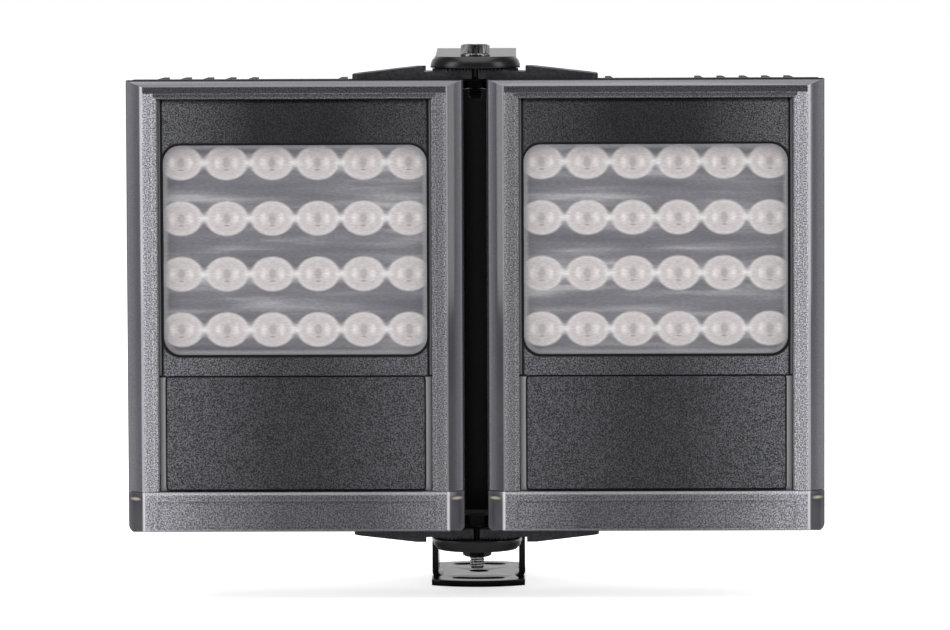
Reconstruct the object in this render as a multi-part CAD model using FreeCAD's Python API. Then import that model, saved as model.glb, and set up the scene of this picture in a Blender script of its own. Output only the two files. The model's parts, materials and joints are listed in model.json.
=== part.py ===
import FreeCAD, Part
import math
import os

os.makedirs("parts", exist_ok=True)

# Infrared illuminator with two finned lamp panels on a shared hinge spine.
# The origin is the centre of the base hole, on the underside of the U bracket.
# X runs to the right, Y to the back, Z up. The lamps shine towards minus Y.
# Everything is drawn for the right lamp and mirrored for the left one.

# Lamp panels seen from the front
panel_width = 134.7
panel_height = 181.0
panel_gap = 9.2
panel_bottom = 28.5
front_y = -88.0

# Depths of the lamp, measured back from its front face
frame_depth = 12.0
rim_front_depth = 9.3
shoulder_depth = 25.0
fin_reach = 57.0
led_floor_depth = 16.8
driver_floor_depth = 21.0

# Smoked lens frame and its bottom bar
side_bevel = 6.8
top_bevel = 2.6
bottom_bevel = 1.2
bevel_depth = 5.5
web_thickness = 3.0
face_width = 12.85
opening_top_margin = 7.6
side_wall = 4.55
cavity_top_margin = 3.8
lip_width = 2.1
lip_step = 0.6
bar_height = 16.4
bar_joint = 0.2
bar_wall = 2.5
bar_corner = 3.2
inset_overlap = 1.1
inset_low = 1.7
inset_high = 12.7
inset_depth = 0.5
tongue_drop = 7.0
tongue_thickness = 4.0
tongue_gap = 2.2
tongue_front = 5.2
tongue_root = 1.8

# Bezel behind the lens frame
bezel_fit = 0.3
bezel_setback = 1.2
bezel_bevel = 2.0
bezel_flange = 1.6
bezel_shell = 2.0
window_side = 1.9
window_low = 71.3
window_top_margin = 25.9
window_corner = 7.0
pad_side = 3.1
pad_low = 17.6
pad_high = 62.5
pad_corner = 3.0
pad_rise = 0.5

# Optical stack
diffuser_thickness = 1.0
diffuser_margin = 3.0
cover_thickness = 2.0
cover_side = 2.8
cover_margin_low = 19.0
cover_top = 2.2
gasket_width = 3.0
led_columns = 6
led_rows = 4
led_edge_x = 2.0
led_edge_z = 2.6
led_centre_rise = 1.5
optic_radius = 7.1
optic_foot_radius = 4.4
optic_sides = 8
optic_air = 0.3
emitter_size = 3.5
emitter_height = 1.2
emitter_room = 0.5
board_thickness = 1.6
led_board_side = 5.0
led_board_margin = 11.5

# Finned housing
housing_inset = 0.6
housing_corner = 1.5
rim_fit = 1.2
rim_low = 18.6
rim_top_fit = 0.6
rim_wall = 4.6
pocket_low = 22.0
rim_top_wall = 3.6
driver_pocket_top = 63.0
fin_count_side = 6
fin_margin = 12.15
fin_tip = 2.4
fin_root = 3.0
fin_short_side = 1
fin_short_top = 26.0
fin_short_bottom = 49.0
inner_fin_cuts = (11.0, 7.0, 3.5)
boss_radius = 10.5
boss_height = 3.0
gland_height = 37.0
vent_drop = 18.0
relief_radius = 8.4
relief_length = 13.0

# Driver board
driver_side = 9.0
driver_low = 26.0
driver_high = 60.0
standoff_height = 4.3
standoff_radius = 3.0
standoff_inset = 5.0
transformer_width = 20.0
transformer_height = 18.0
transformer_depth = 7.0
transformer_gap = 6.0
choke_side = 10.0
choke_depth = 6.0
choke_gap = 5.0
capacitor_radius = 5.0
capacitor_length = 7.0
capacitor_gap = 3.0
capacitor_rise = 4.0
terminal_width = 10.0
terminal_height = 14.0
terminal_depth = 6.0
terminal_side = 15.0
terminal_drop = 6.0

# Cable gland, lock nut and vent
gland_thread_radius = 6.0
gland_bore_radius = 3.3
gland_flange_flats = 15.0
gland_flange_height = 4.0
gland_neck_height = 6.0
gland_nut_flats = 15.0
gland_nut_height = 11.0
gland_nut_wall = 1.6
lock_nut_flats = 16.0
lock_nut_height = 2.6
vent_radius = 6.5
vent_head = 2.8
vent_stem_radius = 4.0

# Sides of the small round parts, which are drawn as many-sided bars
screw_sides = 6
stem_sides = 12
washer_sides = 16

# Small screws
frame_screw_radius = 1.25
frame_screw_head_radius = 2.3
frame_screw_head = 2.2
frame_screw_engagement = 6.0
frame_screw_inset = 1.6
frame_screw_low = 34.0
frame_screw_drop = 35.0
bar_screw_radius = 1.25
bar_screw_head_radius = 2.2
bar_screw_head = 1.4
bar_screw_height = 12.6
bar_screw_depth = 8.2
board_screw_radius = 1.5
board_screw_head_radius = 2.7
board_screw_head = 1.8

# Hinge between the lamps
hinge_y = -64.0
arm_front_y = -77.0
arm_back_y = -51.0
arm_inner_x = 1.2
arm_outer_x = 49.2
arm_corner = 3.0
arm_end_thickness = 2.0
arm_lip_thickness = 4.9
arm_seat_thickness = 2.95
arm_seat_radius = 24.0
arm_rear_angle = 62.0
arm_screw_radius = 2.5
arm_screw_head_radius = 4.4
arm_screw_head = 1.2
arm_screw_length = 12.0
arm_screw_sink = 0.25
arm_screw_x = (32.0, 43.2)
tooth_count = 72
tooth_depth = 1.0
tooth_run_out = 0.1
tooth_gap = 0.3
tooth_inner_radius = 11.0
tooth_outer_radius = 17.3
tooth_width = 0.95
hub_radius = 4.5
hub_clearance = 0.06
hub_length = 4.1
thrust_clearance = 0.05

# Spine that carries both lamps
disc_radius = 18.0
disc_thickness = 4.55
disc_shoulder = 0.6
disc_shoulder_height = 1.7
disc_bevel = 2.0
disc_bevel_height = 1.5
spine_half = 16.25
spine_arm_relief = 0.9
spine_rise = 2.3
spine_slope_start_y = -50.0
spine_wall_front_y = -19.0
spine_wall_back_y = -13.0
spine_gusset = 7.0
rib_width = 4.0
rib_depth = 7.0
rib_end = 16.0
lug_half = 15.2
lug_radius = 11.0

# M6 fasteners
bolt_radius = 3.0
bolt_hole_radius = 3.2
bolt_flats = 10.0
bolt_head = 3.8
bolt_length = 18.0
tilt_bolt_length = 16.0
thin_nut = 3.2
washer_radius = 6.25
washer_thickness = 1.0
thrust_washer_radius = 7.0

# U bracket
sheet = 2.5
leg_outer = 19.2
leg_depth = 30.0
bend_radius = 2.0
pivot_height = 59.0
base_radius = 34.4
base_corner = 2.0
base_hole_radius = 4.0
slot_radius = 25.0
slot_half_width = 3.2
slot_half_angle = 18.0
friction_washer_radius = 9.5
tilt_clearance = 0.05

# Values that follow from the sizes above
lamp_x = (panel_width + panel_gap) / 2
panel_half = panel_width / 2
opening_half = panel_half - face_width
cavity_half = panel_half - side_wall
inset_half = opening_half + inset_overlap
tongue_out = cavity_half - tongue_gap
tongue_in = tongue_out - tongue_thickness
window_half = opening_half - window_side
window_high = panel_height - window_top_margin
led_pitch_x = 2 * (window_half + led_edge_x) / led_columns
led_pitch_z = (window_high - window_low + 2 * led_edge_z) / led_rows
led_centre = (window_low + window_high) / 2 + led_centre_rise
pad_half = opening_half - pad_side
cover_half = cavity_half - cover_side
rim_half = cavity_half - rim_fit
pocket_half = rim_half - rim_wall
led_board_half = pocket_half - led_board_side
driver_half = pocket_half - driver_side
terminal_x = driver_half - terminal_side
capacitor_x = terminal_x - terminal_width / 2 - capacitor_gap - capacitor_radius
choke_x = capacitor_x - capacitor_radius - choke_gap - choke_side / 2
transformer_x = choke_x - choke_side / 2 - transformer_gap - transformer_width / 2
cover_margin_high = cavity_top_margin + cover_top
rim_high_margin = cavity_top_margin + rim_top_fit
pocket_high_margin = rim_high_margin + rim_top_wall
panel_top = panel_bottom + panel_height
middle_z = panel_bottom + panel_height / 2
frame_back_y = front_y + frame_depth
rim_front_y = front_y + rim_front_depth
shoulder_y = front_y + shoulder_depth
led_floor_y = front_y + led_floor_depth
driver_floor_y = front_y + driver_floor_depth
bar_top = panel_bottom + bar_height
flange_front_y = front_y + web_thickness
flange_back_y = flange_front_y + bezel_flange
bezel_front_y = front_y + bezel_setback
opening_top = panel_top - opening_top_margin
cavity_top = panel_top - cavity_top_margin
diffuser_back_y = flange_back_y + diffuser_thickness
cover_back_y = diffuser_back_y + cover_thickness
board_front_y = led_floor_y - board_thickness
led_row_z = panel_bottom + led_centre
fin_back_y = front_y + fin_reach
housing_half = panel_half - housing_inset
fin_pitch = (housing_half - fin_margin) / fin_count_side
vent_height = panel_height - vent_drop
frame_screw_heights = (frame_screw_low, panel_height - frame_screw_drop)
pocket_bottom = panel_bottom + pocket_low
pocket_top = panel_top - pocket_high_margin
driver_top = panel_bottom + driver_pocket_top
screw_line = cavity_half + frame_screw_inset
driver_back_y = driver_floor_y - standoff_height
driver_front_y = driver_back_y - board_thickness
arm_seat_z = panel_top + arm_seat_thickness
tooth_tip_z = arm_seat_z + tooth_depth + tooth_run_out
disc_bottom_z = tooth_tip_z + tooth_gap
disc_top_z = disc_bottom_z + disc_thickness
far = 400.0
through = 1.0


def box(x0, x1, y0, y1, z0, z1):
    corner = FreeCAD.Vector(min(x0, x1), min(y0, y1), min(z0, z1))
    return Part.makeBox(abs(x1 - x0), abs(y1 - y0), abs(z1 - z0), corner)


def rod_x(radius, x0, x1, y, z):
    start = FreeCAD.Vector(min(x0, x1), y, z)
    return Part.makeCylinder(radius, abs(x1 - x0), start, FreeCAD.Vector(1, 0, 0))


def rod_y(radius, x, y0, y1, z):
    start = FreeCAD.Vector(x, min(y0, y1), z)
    return Part.makeCylinder(radius, abs(y1 - y0), start, FreeCAD.Vector(0, 1, 0))


def rod_z(radius, x, y, z0, z1):
    start = FreeCAD.Vector(x, y, min(z0, z1))
    return Part.makeCylinder(radius, abs(z1 - z0), start, FreeCAD.Vector(0, 0, 1))


def many_sided(radius, sides):
    # Corners of a regular outline whose corners lie on the radius
    angles = [2 * math.pi * (step + 0.5) / sides for step in range(sides)]
    return [(radius * math.cos(angle), radius * math.sin(angle)) for angle in angles]


def bar_x(radius, x0, x1, y, z, sides):
    points = [(x0, y + a, z + b) for a, b in many_sided(radius, sides)]
    return prism(points, (x1 - x0, 0, 0))


def bar_y(radius, x, y0, y1, z, sides):
    points = [(x + a, y0, z + b) for a, b in many_sided(radius, sides)]
    return prism(points, (0, y1 - y0, 0))


def bar_z(radius, x, y, z0, z1, sides):
    points = [(x + a, y + b, z0) for a, b in many_sided(radius, sides)]
    return prism(points, (0, 0, z1 - z0))


def prism(points, direction):
    # A flat outline of three-dimensional points, drawn out along a vector
    corners = [FreeCAD.Vector(*point) for point in points]
    corners.append(corners[0])
    face = Part.Face(Part.makePolygon(corners))
    return face.extrude(FreeCAD.Vector(*direction))


def hexagon(flats, turned):
    # Corners of a hexagon in its own plane; turned puts corners on the first axis
    reach = flats / math.sqrt(3)
    offset = 0.0 if turned else math.pi / 6
    angles = [offset + math.pi / 3 * step for step in range(6)]
    return [(reach * math.cos(angle), reach * math.sin(angle)) for angle in angles]


def hex_z(flats, x, y, z0, z1):
    points = [(x + a, y + b, z0) for a, b in hexagon(flats, True)]
    return prism(points, (0, 0, z1 - z0))


def hex_y(flats, x, y0, y1, z):
    points = [(x + a, y0, z + b) for a, b in hexagon(flats, True)]
    return prism(points, (0, y1 - y0, 0))


def hex_x(flats, x0, x1, y, z):
    points = [(x0, y + a, z + b) for a, b in hexagon(flats, False)]
    return prism(points, (x1 - x0, 0, 0))


def joined(pieces):
    shape = pieces[0].multiFuse(pieces[1:]) if len(pieces) > 1 else pieces[0]
    return shape.removeSplitter()


def without(shape, cutters):
    return shape.cut(cutters).removeSplitter()


def mirror_x(shape):
    return shape.mirror(FreeCAD.Vector(0, 0, 0), FreeCAD.Vector(1, 0, 0))


def mirror_z(shape):
    return shape.mirror(FreeCAD.Vector(0, 0, middle_z), FreeCAD.Vector(0, 0, 1))


def save(name, shape):
    shape.exportStep("parts/" + name + ".step")


def save_pair(name, shape):
    save("right_" + name, shape)
    save("left_" + name, mirror_x(shape))


def rounded_along(shape, axis, radius, wanted):
    # Rounds the straight edges along one axis whose middle point is wanted
    edges = []
    for edge in shape.Edges:
        start = edge.Vertexes[0].Point
        end = edge.Vertexes[-1].Point
        run = end.sub(start)
        if run.Length < through / 10:
            continue
        run.normalize()
        if abs(abs(run.dot(axis)) - 1) < 1e-6 and wanted((start + end) * 0.5):
            edges.append(edge)
    return shape.makeFillet(radius, edges)


def bevelled_block(half, low, high, y_front, y_back, bevels, depth):
    # A block with its front face drawn in by side, top and bottom bevels
    side, top, bottom = bevels
    plan = [
        (lamp_x - half, y_back, low),
        (lamp_x - half, y_front + depth, low),
        (lamp_x - half + side, y_front, low),
        (lamp_x + half - side, y_front, low),
        (lamp_x + half, y_front + depth, low),
        (lamp_x + half, y_back, low),
    ]
    section = [
        (lamp_x - half, y_back, low),
        (lamp_x - half, y_front + depth, low),
        (lamp_x - half, y_front, low + bottom),
        (lamp_x - half, y_front, high - top),
        (lamp_x - half, y_front + depth, high),
        (lamp_x - half, y_back, high),
    ]
    wide = prism(plan, (0, 0, high - low))
    tall = prism(section, (2 * half, 0, 0))
    return wide.common(tall).removeSplitter()


# Smoked lens frame: top and two sides, open at the bottom for the bar
def lens_frame():
    bevels = (side_bevel, top_bevel, 0.0)
    low = bar_top + bar_joint
    shell = bevelled_block(panel_half, low, panel_top, front_y, frame_back_y, bevels, bevel_depth)
    opening = box(lamp_x - opening_half, lamp_x + opening_half, front_y - through,
                  frame_back_y + through, panel_bottom, opening_top)
    lip_half = opening_half + lip_width
    lip = box(lamp_x - lip_half, lamp_x + lip_half, front_y - through,
              front_y + lip_step, panel_bottom, opening_top + lip_width)
    cavity = box(lamp_x - cavity_half, lamp_x + cavity_half, flange_front_y,
                 frame_back_y + through, panel_bottom, cavity_top)
    frame = without(shell, [opening, lip, cavity])
    tongue_y = front_y + tongue_front
    tongue_back = rim_front_y - bar_joint
    tongues = []
    for side in (-1, 1):
        tongues.append(box(lamp_x + side * tongue_in, lamp_x + side * cavity_half, tongue_y,
                           tongue_back, low, low + tongue_root))
        tongues.append(box(lamp_x + side * tongue_in, lamp_x + side * tongue_out, tongue_y,
                           tongue_back, low - tongue_drop, low + tongue_root))
    frame = joined([frame] + tongues)
    holes = [bar_y(frame_screw_radius, x, frame_back_y - frame_screw_engagement, frame_back_y + through, z,
                   screw_sides) for x, z in frame_screw_places()]
    holes.append(bar_screw_hole(bar_screw_radius))
    return without(frame, holes)


def frame_screw_places():
    places = []
    for side in (-1, 1):
        for height in frame_screw_heights:
            places.append((lamp_x + side * screw_line, panel_bottom + height))
    return places


def bar_screw_hole(radius):
    z = panel_bottom + bar_screw_height
    y = front_y + bar_screw_depth
    return bar_x(radius, lamp_x - panel_width, lamp_x + panel_width, y, z, screw_sides)


# Bottom bar that closes the lens frame, with a plain shallow inset
def bottom_bar():
    bevels = (side_bevel, 0.0, bottom_bevel)
    bar = bevelled_block(panel_half, panel_bottom, bar_top, front_y, frame_back_y, bevels, bevel_depth)
    across = FreeCAD.Vector(0, 1, 0)
    bar = rounded_along(bar, across, bar_corner, lambda point: point.z < panel_bottom + bottom_bevel / 2)
    inset = box(lamp_x - inset_half, lamp_x + inset_half, front_y - through,
                front_y + inset_depth, panel_bottom + inset_low, panel_bottom + inset_high)
    hollow_half = tongue_out + bar_joint
    hollow = box(lamp_x - hollow_half, lamp_x + hollow_half, front_y + bar_wall,
                 frame_back_y + through, panel_bottom + bar_wall, bar_top - bar_wall)
    slots = []
    for side in (-1, 1):
        slots.append(box(lamp_x + side * (tongue_in - bar_joint), lamp_x + side * hollow_half,
                         front_y + tongue_front - bar_joint, frame_back_y + through,
                         bar_top - bar_wall - through, bar_top + through))
    head_room = bar_screw_head
    z = panel_bottom + bar_screw_height
    y = front_y + bar_screw_depth
    sinks = []
    for side in (-1, 1):
        sinks.append(bar_x(bar_screw_head_radius, lamp_x + side * (panel_half - head_room),
                           lamp_x + side * panel_width, y, z, screw_sides))
    return without(bar, [inset, hollow, bar_screw_hole(bar_screw_radius)] + slots + sinks)


# Two small stainless screws that hold the bar
def bar_screws():
    z = panel_bottom + bar_screw_height
    y = front_y + bar_screw_depth
    screws = []
    for side in (-1, 1):
        head_in = lamp_x + side * (panel_half - bar_screw_head)
        head = bar_x(bar_screw_head_radius, head_in, lamp_x + side * panel_half, y, z, screw_sides)
        shank = bar_x(bar_screw_radius, lamp_x + side * tongue_in, head_in, y, z, screw_sides)
        screws.append(joined([head, shank]))
    return Part.makeCompound(screws)


def window_block(half, low, high, corner, y0, y1):
    block = box(lamp_x - half, lamp_x + half, y0, y1, panel_bottom + low, panel_bottom + high)
    return rounded_along(block, FreeCAD.Vector(0, 1, 0), corner, lambda point: True)


# Black bezel with the window above and the plain pad below
def bezel():
    half = opening_half - bezel_fit
    bevels = (bezel_bevel, bezel_bevel, bezel_bevel)
    low = bar_top + bezel_fit
    high = opening_top - bezel_fit
    plateau = bevelled_block(half, low, high, bezel_front_y, flange_back_y, bevels, bezel_setback)
    flange = box(lamp_x - cavity_half + bezel_fit, lamp_x + cavity_half - bezel_fit, flange_front_y,
                 flange_back_y, bar_top + tongue_drop, cavity_top - bezel_fit)
    pad = box(lamp_x - pad_half, lamp_x + pad_half, bezel_front_y - pad_rise,
              flange_front_y, panel_bottom + pad_low, panel_bottom + pad_high)
    upper = panel_bottom + pad_high - pad_corner
    pad = rounded_along(pad, FreeCAD.Vector(0, 1, 0), pad_corner, lambda point: point.z > upper)
    whole = joined([plateau, flange, pad])
    window = window_block(window_half, window_low, window_high, window_corner,
                          bezel_front_y - through, flange_back_y + through)
    hollow_back = flange_back_y + through
    hollow = box(lamp_x - pad_half, lamp_x + pad_half, bezel_front_y + bezel_shell,
                 hollow_back, panel_bottom + pad_low + bezel_shell, panel_bottom + window_low - bezel_shell * 2)
    return without(whole, [window, hollow])


def sheet_piece(half, low, high, y0, y1):
    return box(lamp_x - half, lamp_x + half, y0, y1, panel_bottom + low, panel_bottom + high)


# Ribbed sheet that spreads the beam sideways
def diffuser():
    return sheet_piece(window_half + diffuser_margin, window_low - diffuser_margin,
                       window_high + diffuser_margin, flange_back_y, diffuser_back_y)


# Clear cover that seals the lamp, stepped up around the diffuser
def cover():
    return sheet_piece(cover_half, cover_margin_low, panel_height - cover_margin_high,
                       diffuser_back_y, cover_back_y)


def gasket():
    outer = sheet_piece(cover_half, cover_margin_low, panel_height - cover_margin_high,
                        cover_back_y, rim_front_y)
    inner = sheet_piece(cover_half - gasket_width, cover_margin_low + gasket_width,
                        panel_height - cover_margin_high - gasket_width,
                        cover_back_y - through, rim_front_y + through)
    return without(outer, [inner])


def led_places():
    places = []
    for column in range(led_columns):
        for row in range(led_rows):
            x = lamp_x + (column - (led_columns - 1) / 2) * led_pitch_x
            z = led_row_z + (row - (led_rows - 1) / 2) * led_pitch_z
            places.append((x, z))
    return places


def led_board():
    low = led_row_z - led_rows * led_pitch_z / 2 - (led_board_margin - led_pitch_z / 2)
    high = led_row_z + led_rows * led_pitch_z / 2 + (led_board_margin - led_pitch_z / 2)
    return box(lamp_x - led_board_half, lamp_x + led_board_half, board_front_y, led_floor_y, low, high)


def emitters():
    half = emitter_size / 2
    chips = [box(x - half, x + half, board_front_y - emitter_height, board_front_y, z - half, z + half)
             for x, z in led_places()]
    return Part.makeCompound(chips)


def frustum_y(x, z, y0, radius0, y1, radius1, sides):
    # A many-sided cone with flat faces, along Y
    near = [FreeCAD.Vector(x + a, y0, z + b) for a, b in many_sided(radius0, sides)]
    distant = [FreeCAD.Vector(x + a, y1, z + b) for a, b in many_sided(radius1, sides)]
    faces = [Part.Face(Part.makePolygon(near + near[:1])), Part.Face(Part.makePolygon(distant + distant[:1]))]
    for step in range(sides):
        after = (step + 1) % sides
        corners = [near[step], near[after], distant[after], distant[step], near[step]]
        faces.append(Part.Face(Part.makePolygon(corners)))
    return Part.makeSolid(Part.makeShell(faces))


# Collimator optics, one over each emitter
def optics():
    front = cover_back_y + optic_air
    half = (emitter_size + emitter_room) / 2
    lenses = []
    for x, z in led_places():
        lens = frustum_y(x, z, front, optic_radius, board_front_y, optic_foot_radius, optic_sides)
        room = box(x - half, x + half, board_front_y - emitter_height - emitter_room / 2,
                   board_front_y + through, z - half, z + half)
        lenses.append(lens.cut(room))
    return Part.makeCompound(lenses)


# One tapered cooling fin
def fin(x, low, high, back_y):
    root = fin_root / 2
    tip = fin_tip / 2
    points = [(x - root, shoulder_y, low), (x + root, shoulder_y, low),
              (x + tip, back_y, low), (x - tip, back_y, low)]
    return prism(points, (0, 0, high - low))


def fins():
    blades = []
    for number in range(-fin_count_side, fin_count_side + 1):
        x = lamp_x + number * fin_pitch
        low = panel_bottom
        high = panel_top
        if abs(number) <= fin_short_side:
            low = panel_bottom + fin_short_bottom
            high = panel_top - fin_short_top
        from_inner = number + fin_count_side
        cut = inner_fin_cuts[from_inner] if from_inner < len(inner_fin_cuts) else 0.0
        blades.append(fin(x, low, high, fin_back_y - cut))
    return blades


def driver_posts():
    posts = []
    for side in (-1, 1):
        for z in (panel_bottom + driver_low + standoff_inset, panel_bottom + driver_high - standoff_inset):
            posts.append((lamp_x + side * (driver_half - standoff_inset), z))
    return posts


# Die-cast finned housing with the light well above and the driver well below
def housing():
    body = box(lamp_x - housing_half, lamp_x + housing_half, frame_back_y, shoulder_y,
               panel_bottom, panel_top)
    along = FreeCAD.Vector(0, 1, 0)
    body = rounded_along(body, along, bar_corner, lambda point: point.z < middle_z)
    body = rounded_along(body, along, housing_corner, lambda point: point.z > panel_top - housing_corner)
    rim = box(lamp_x - rim_half, lamp_x + rim_half, rim_front_y, frame_back_y,
              panel_bottom + rim_low, panel_top - rim_high_margin)
    gland_z = panel_bottom + gland_height
    vent_z = panel_bottom + vent_height
    boss = bar_y(boss_radius, lamp_x, shoulder_y, shoulder_y + boss_height, gland_z, washer_sides)
    solid = joined([body, rim, boss] + fins())
    well = box(lamp_x - pocket_half, lamp_x + pocket_half, rim_front_y - through, led_floor_y,
               pocket_bottom, pocket_top)
    driver_well = box(lamp_x - pocket_half, lamp_x + pocket_half, rim_front_y - through, driver_floor_y,
                      pocket_bottom, driver_top)
    cuts = [well, driver_well]
    cuts.append(bar_y(gland_thread_radius, lamp_x, driver_floor_y - through, shoulder_y + far, gland_z,
                      stem_sides))
    cuts.append(bar_y(vent_stem_radius, lamp_x, led_floor_y - through, shoulder_y + far, vent_z, stem_sides))
    for x, z in frame_screw_places():
        cuts.append(bar_y(frame_screw_radius, x, frame_back_y - through, shoulder_y + through, z, screw_sides))
        cuts.append(bar_y(frame_screw_head_radius, x, shoulder_y - frame_screw_head, shoulder_y + through, z,
                          screw_sides))
    for z0, z1 in ((panel_top - relief_length, panel_top + through),
                   (panel_bottom - through, panel_bottom + relief_length)):
        cuts.append(bar_z(relief_radius, 0, hinge_y, z0, z1, washer_sides))
    cuts += arm_screw_holes()
    cast = without(solid, cuts)
    posts = [box(x - standoff_radius, x + standoff_radius, driver_back_y, driver_floor_y,
                 z - standoff_radius, z + standoff_radius) for x, z in driver_posts()]
    cast = joined([cast] + posts)
    taps = [bar_y(board_screw_radius, x, driver_back_y - through, driver_floor_y - through, z, screw_sides)
            for x, z in driver_posts()]
    return without(cast, taps)


def frame_screws():
    screws = []
    for x, z in frame_screw_places():
        seat = shoulder_y - frame_screw_head
        head = bar_y(frame_screw_head_radius, x, seat, shoulder_y, z, screw_sides)
        shank = bar_y(frame_screw_radius, x, frame_back_y - frame_screw_engagement, seat, z, screw_sides)
        screws.append(joined([head, shank]))
    return Part.makeCompound(screws)


def soldered_block(x, z, width, height, depth):
    # A block that stands on the front of the driver board
    return box(lamp_x + x - width / 2, lamp_x + x + width / 2, driver_front_y - depth, driver_front_y,
               z - height / 2, z + height / 2)


# Driver board with transformer, choke, capacitor and terminal block soldered on
def driver_board():
    low = panel_bottom + driver_low
    high = panel_bottom + driver_high
    middle = (low + high) / 2
    board = box(lamp_x - driver_half, lamp_x + driver_half, driver_front_y, driver_back_y, low, high)
    transformer = soldered_block(transformer_x, middle, transformer_width, transformer_height,
                                 transformer_depth)
    choke = soldered_block(choke_x, middle, choke_side, choke_side, choke_depth)
    terminal = soldered_block(terminal_x, middle - terminal_drop, terminal_width, terminal_height,
                              terminal_depth)
    capacitor = bar_y(capacitor_radius, lamp_x + capacitor_x, driver_front_y - capacitor_length, driver_front_y,
                      middle + capacitor_rise, stem_sides)
    holes = [bar_y(board_screw_radius, x, driver_front_y - through, driver_back_y + through, z, screw_sides)
             for x, z in driver_posts()]
    return without(joined([board, transformer, choke, capacitor, terminal]), holes)


def board_screws():
    screws = []
    for x, z in driver_posts():
        head = bar_y(board_screw_head_radius, x, driver_front_y - board_screw_head, driver_front_y, z,
                     screw_sides)
        shank = bar_y(board_screw_radius, x, driver_front_y, driver_floor_y - through, z, screw_sides)
        screws.append(joined([head, shank]))
    return Part.makeCompound(screws)


# Cable gland of the lamp, with its bore left empty
def gland_body():
    z = panel_bottom + gland_height
    seat = shoulder_y + boss_height
    flange = hex_y(gland_flange_flats, lamp_x, seat, seat + gland_flange_height, z)
    stem = bar_y(gland_thread_radius, lamp_x, driver_floor_y - lock_nut_height, seat, z, stem_sides)
    neck_start = seat + gland_flange_height
    neck = bar_y(gland_thread_radius, lamp_x, neck_start, neck_start + gland_neck_height, z, stem_sides)
    bore = bar_y(gland_bore_radius, lamp_x, driver_floor_y - lock_nut_height - through,
                 neck_start + gland_neck_height + through, z, stem_sides)
    return without(joined([flange, stem, neck]), [bore])


def gland_nut():
    z = panel_bottom + gland_height
    start = shoulder_y + boss_height + gland_flange_height
    end = start + gland_nut_height
    outside = hex_y(gland_nut_flats, lamp_x, start, end, z)
    room = bar_y(gland_thread_radius, lamp_x, start - through, end - gland_nut_wall, z, stem_sides)
    mouth = bar_y(gland_bore_radius, lamp_x, start, end + through, z, stem_sides)
    return without(outside, [room, mouth])


def gland_seal():
    z = panel_bottom + gland_height
    start = shoulder_y + boss_height + gland_flange_height + gland_neck_height
    end = shoulder_y + boss_height + gland_flange_height + gland_nut_height - gland_nut_wall
    outside = bar_y(gland_thread_radius, lamp_x, start, end, z, stem_sides)
    bore = bar_y(gland_bore_radius, lamp_x, start - through, end + through, z, stem_sides)
    return without(outside, [bore])


def lock_nut():
    z = panel_bottom + gland_height
    outside = hex_y(lock_nut_flats, lamp_x, driver_floor_y - lock_nut_height, driver_floor_y, z)
    bore = bar_y(gland_thread_radius, lamp_x, driver_floor_y - lock_nut_height - through,
                 driver_floor_y + through, z, stem_sides)
    return without(outside, [bore])


# Breather vent above the shortened middle fins
def vent():
    z = panel_bottom + vent_height
    head = bar_y(vent_radius, lamp_x, shoulder_y, shoulder_y + vent_head, z, washer_sides)
    stem = bar_y(vent_stem_radius, lamp_x, led_floor_y, shoulder_y, z, stem_sides)
    return joined([head, stem])


def arm_screw_holes():
    holes = []
    for x in arm_screw_x:
        top = panel_top + arm_lip_thickness
        hole = bar_z(arm_screw_radius, x, hinge_y, top - arm_screw_length, top + through, screw_sides)
        holes.append(hole)
        holes.append(mirror_z(hole))
    return holes


def arm_slope(x):
    # Thickness of the sloping arm, which grows towards the hinge
    share = (arm_outer_x - x) / (arm_outer_x - arm_seat_radius)
    return arm_end_thickness + (arm_lip_thickness - arm_end_thickness) * min(share, 1.0)


def sunk_screw(x, low, above):
    # Flat-headed screw, its head just below the sloping top of the arm
    top = panel_top + arm_slope(x + arm_screw_head_radius) - arm_screw_sink
    seat = top - arm_screw_head
    shank = bar_z(arm_screw_radius, x, hinge_y, low, seat, screw_sides)
    head = bar_z(arm_screw_head_radius, x, hinge_y, seat, top + above, screw_sides)
    return joined([shank, head])


def groove(angle):
    # One straight radial groove with a pointed floor
    half = tooth_width / 2
    start = tooth_inner_radius
    points = [(start, -half, tooth_tip_z), (start, half, tooth_tip_z), (start, 0, tooth_tip_z - tooth_depth)]
    cutter = prism(points, (tooth_outer_radius + through - start, 0, 0))
    cutter.rotate(FreeCAD.Vector(0, 0, 0), FreeCAD.Vector(0, 0, 1), angle)
    cutter.translate(FreeCAD.Vector(0, hinge_y, 0))
    return cutter


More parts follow.
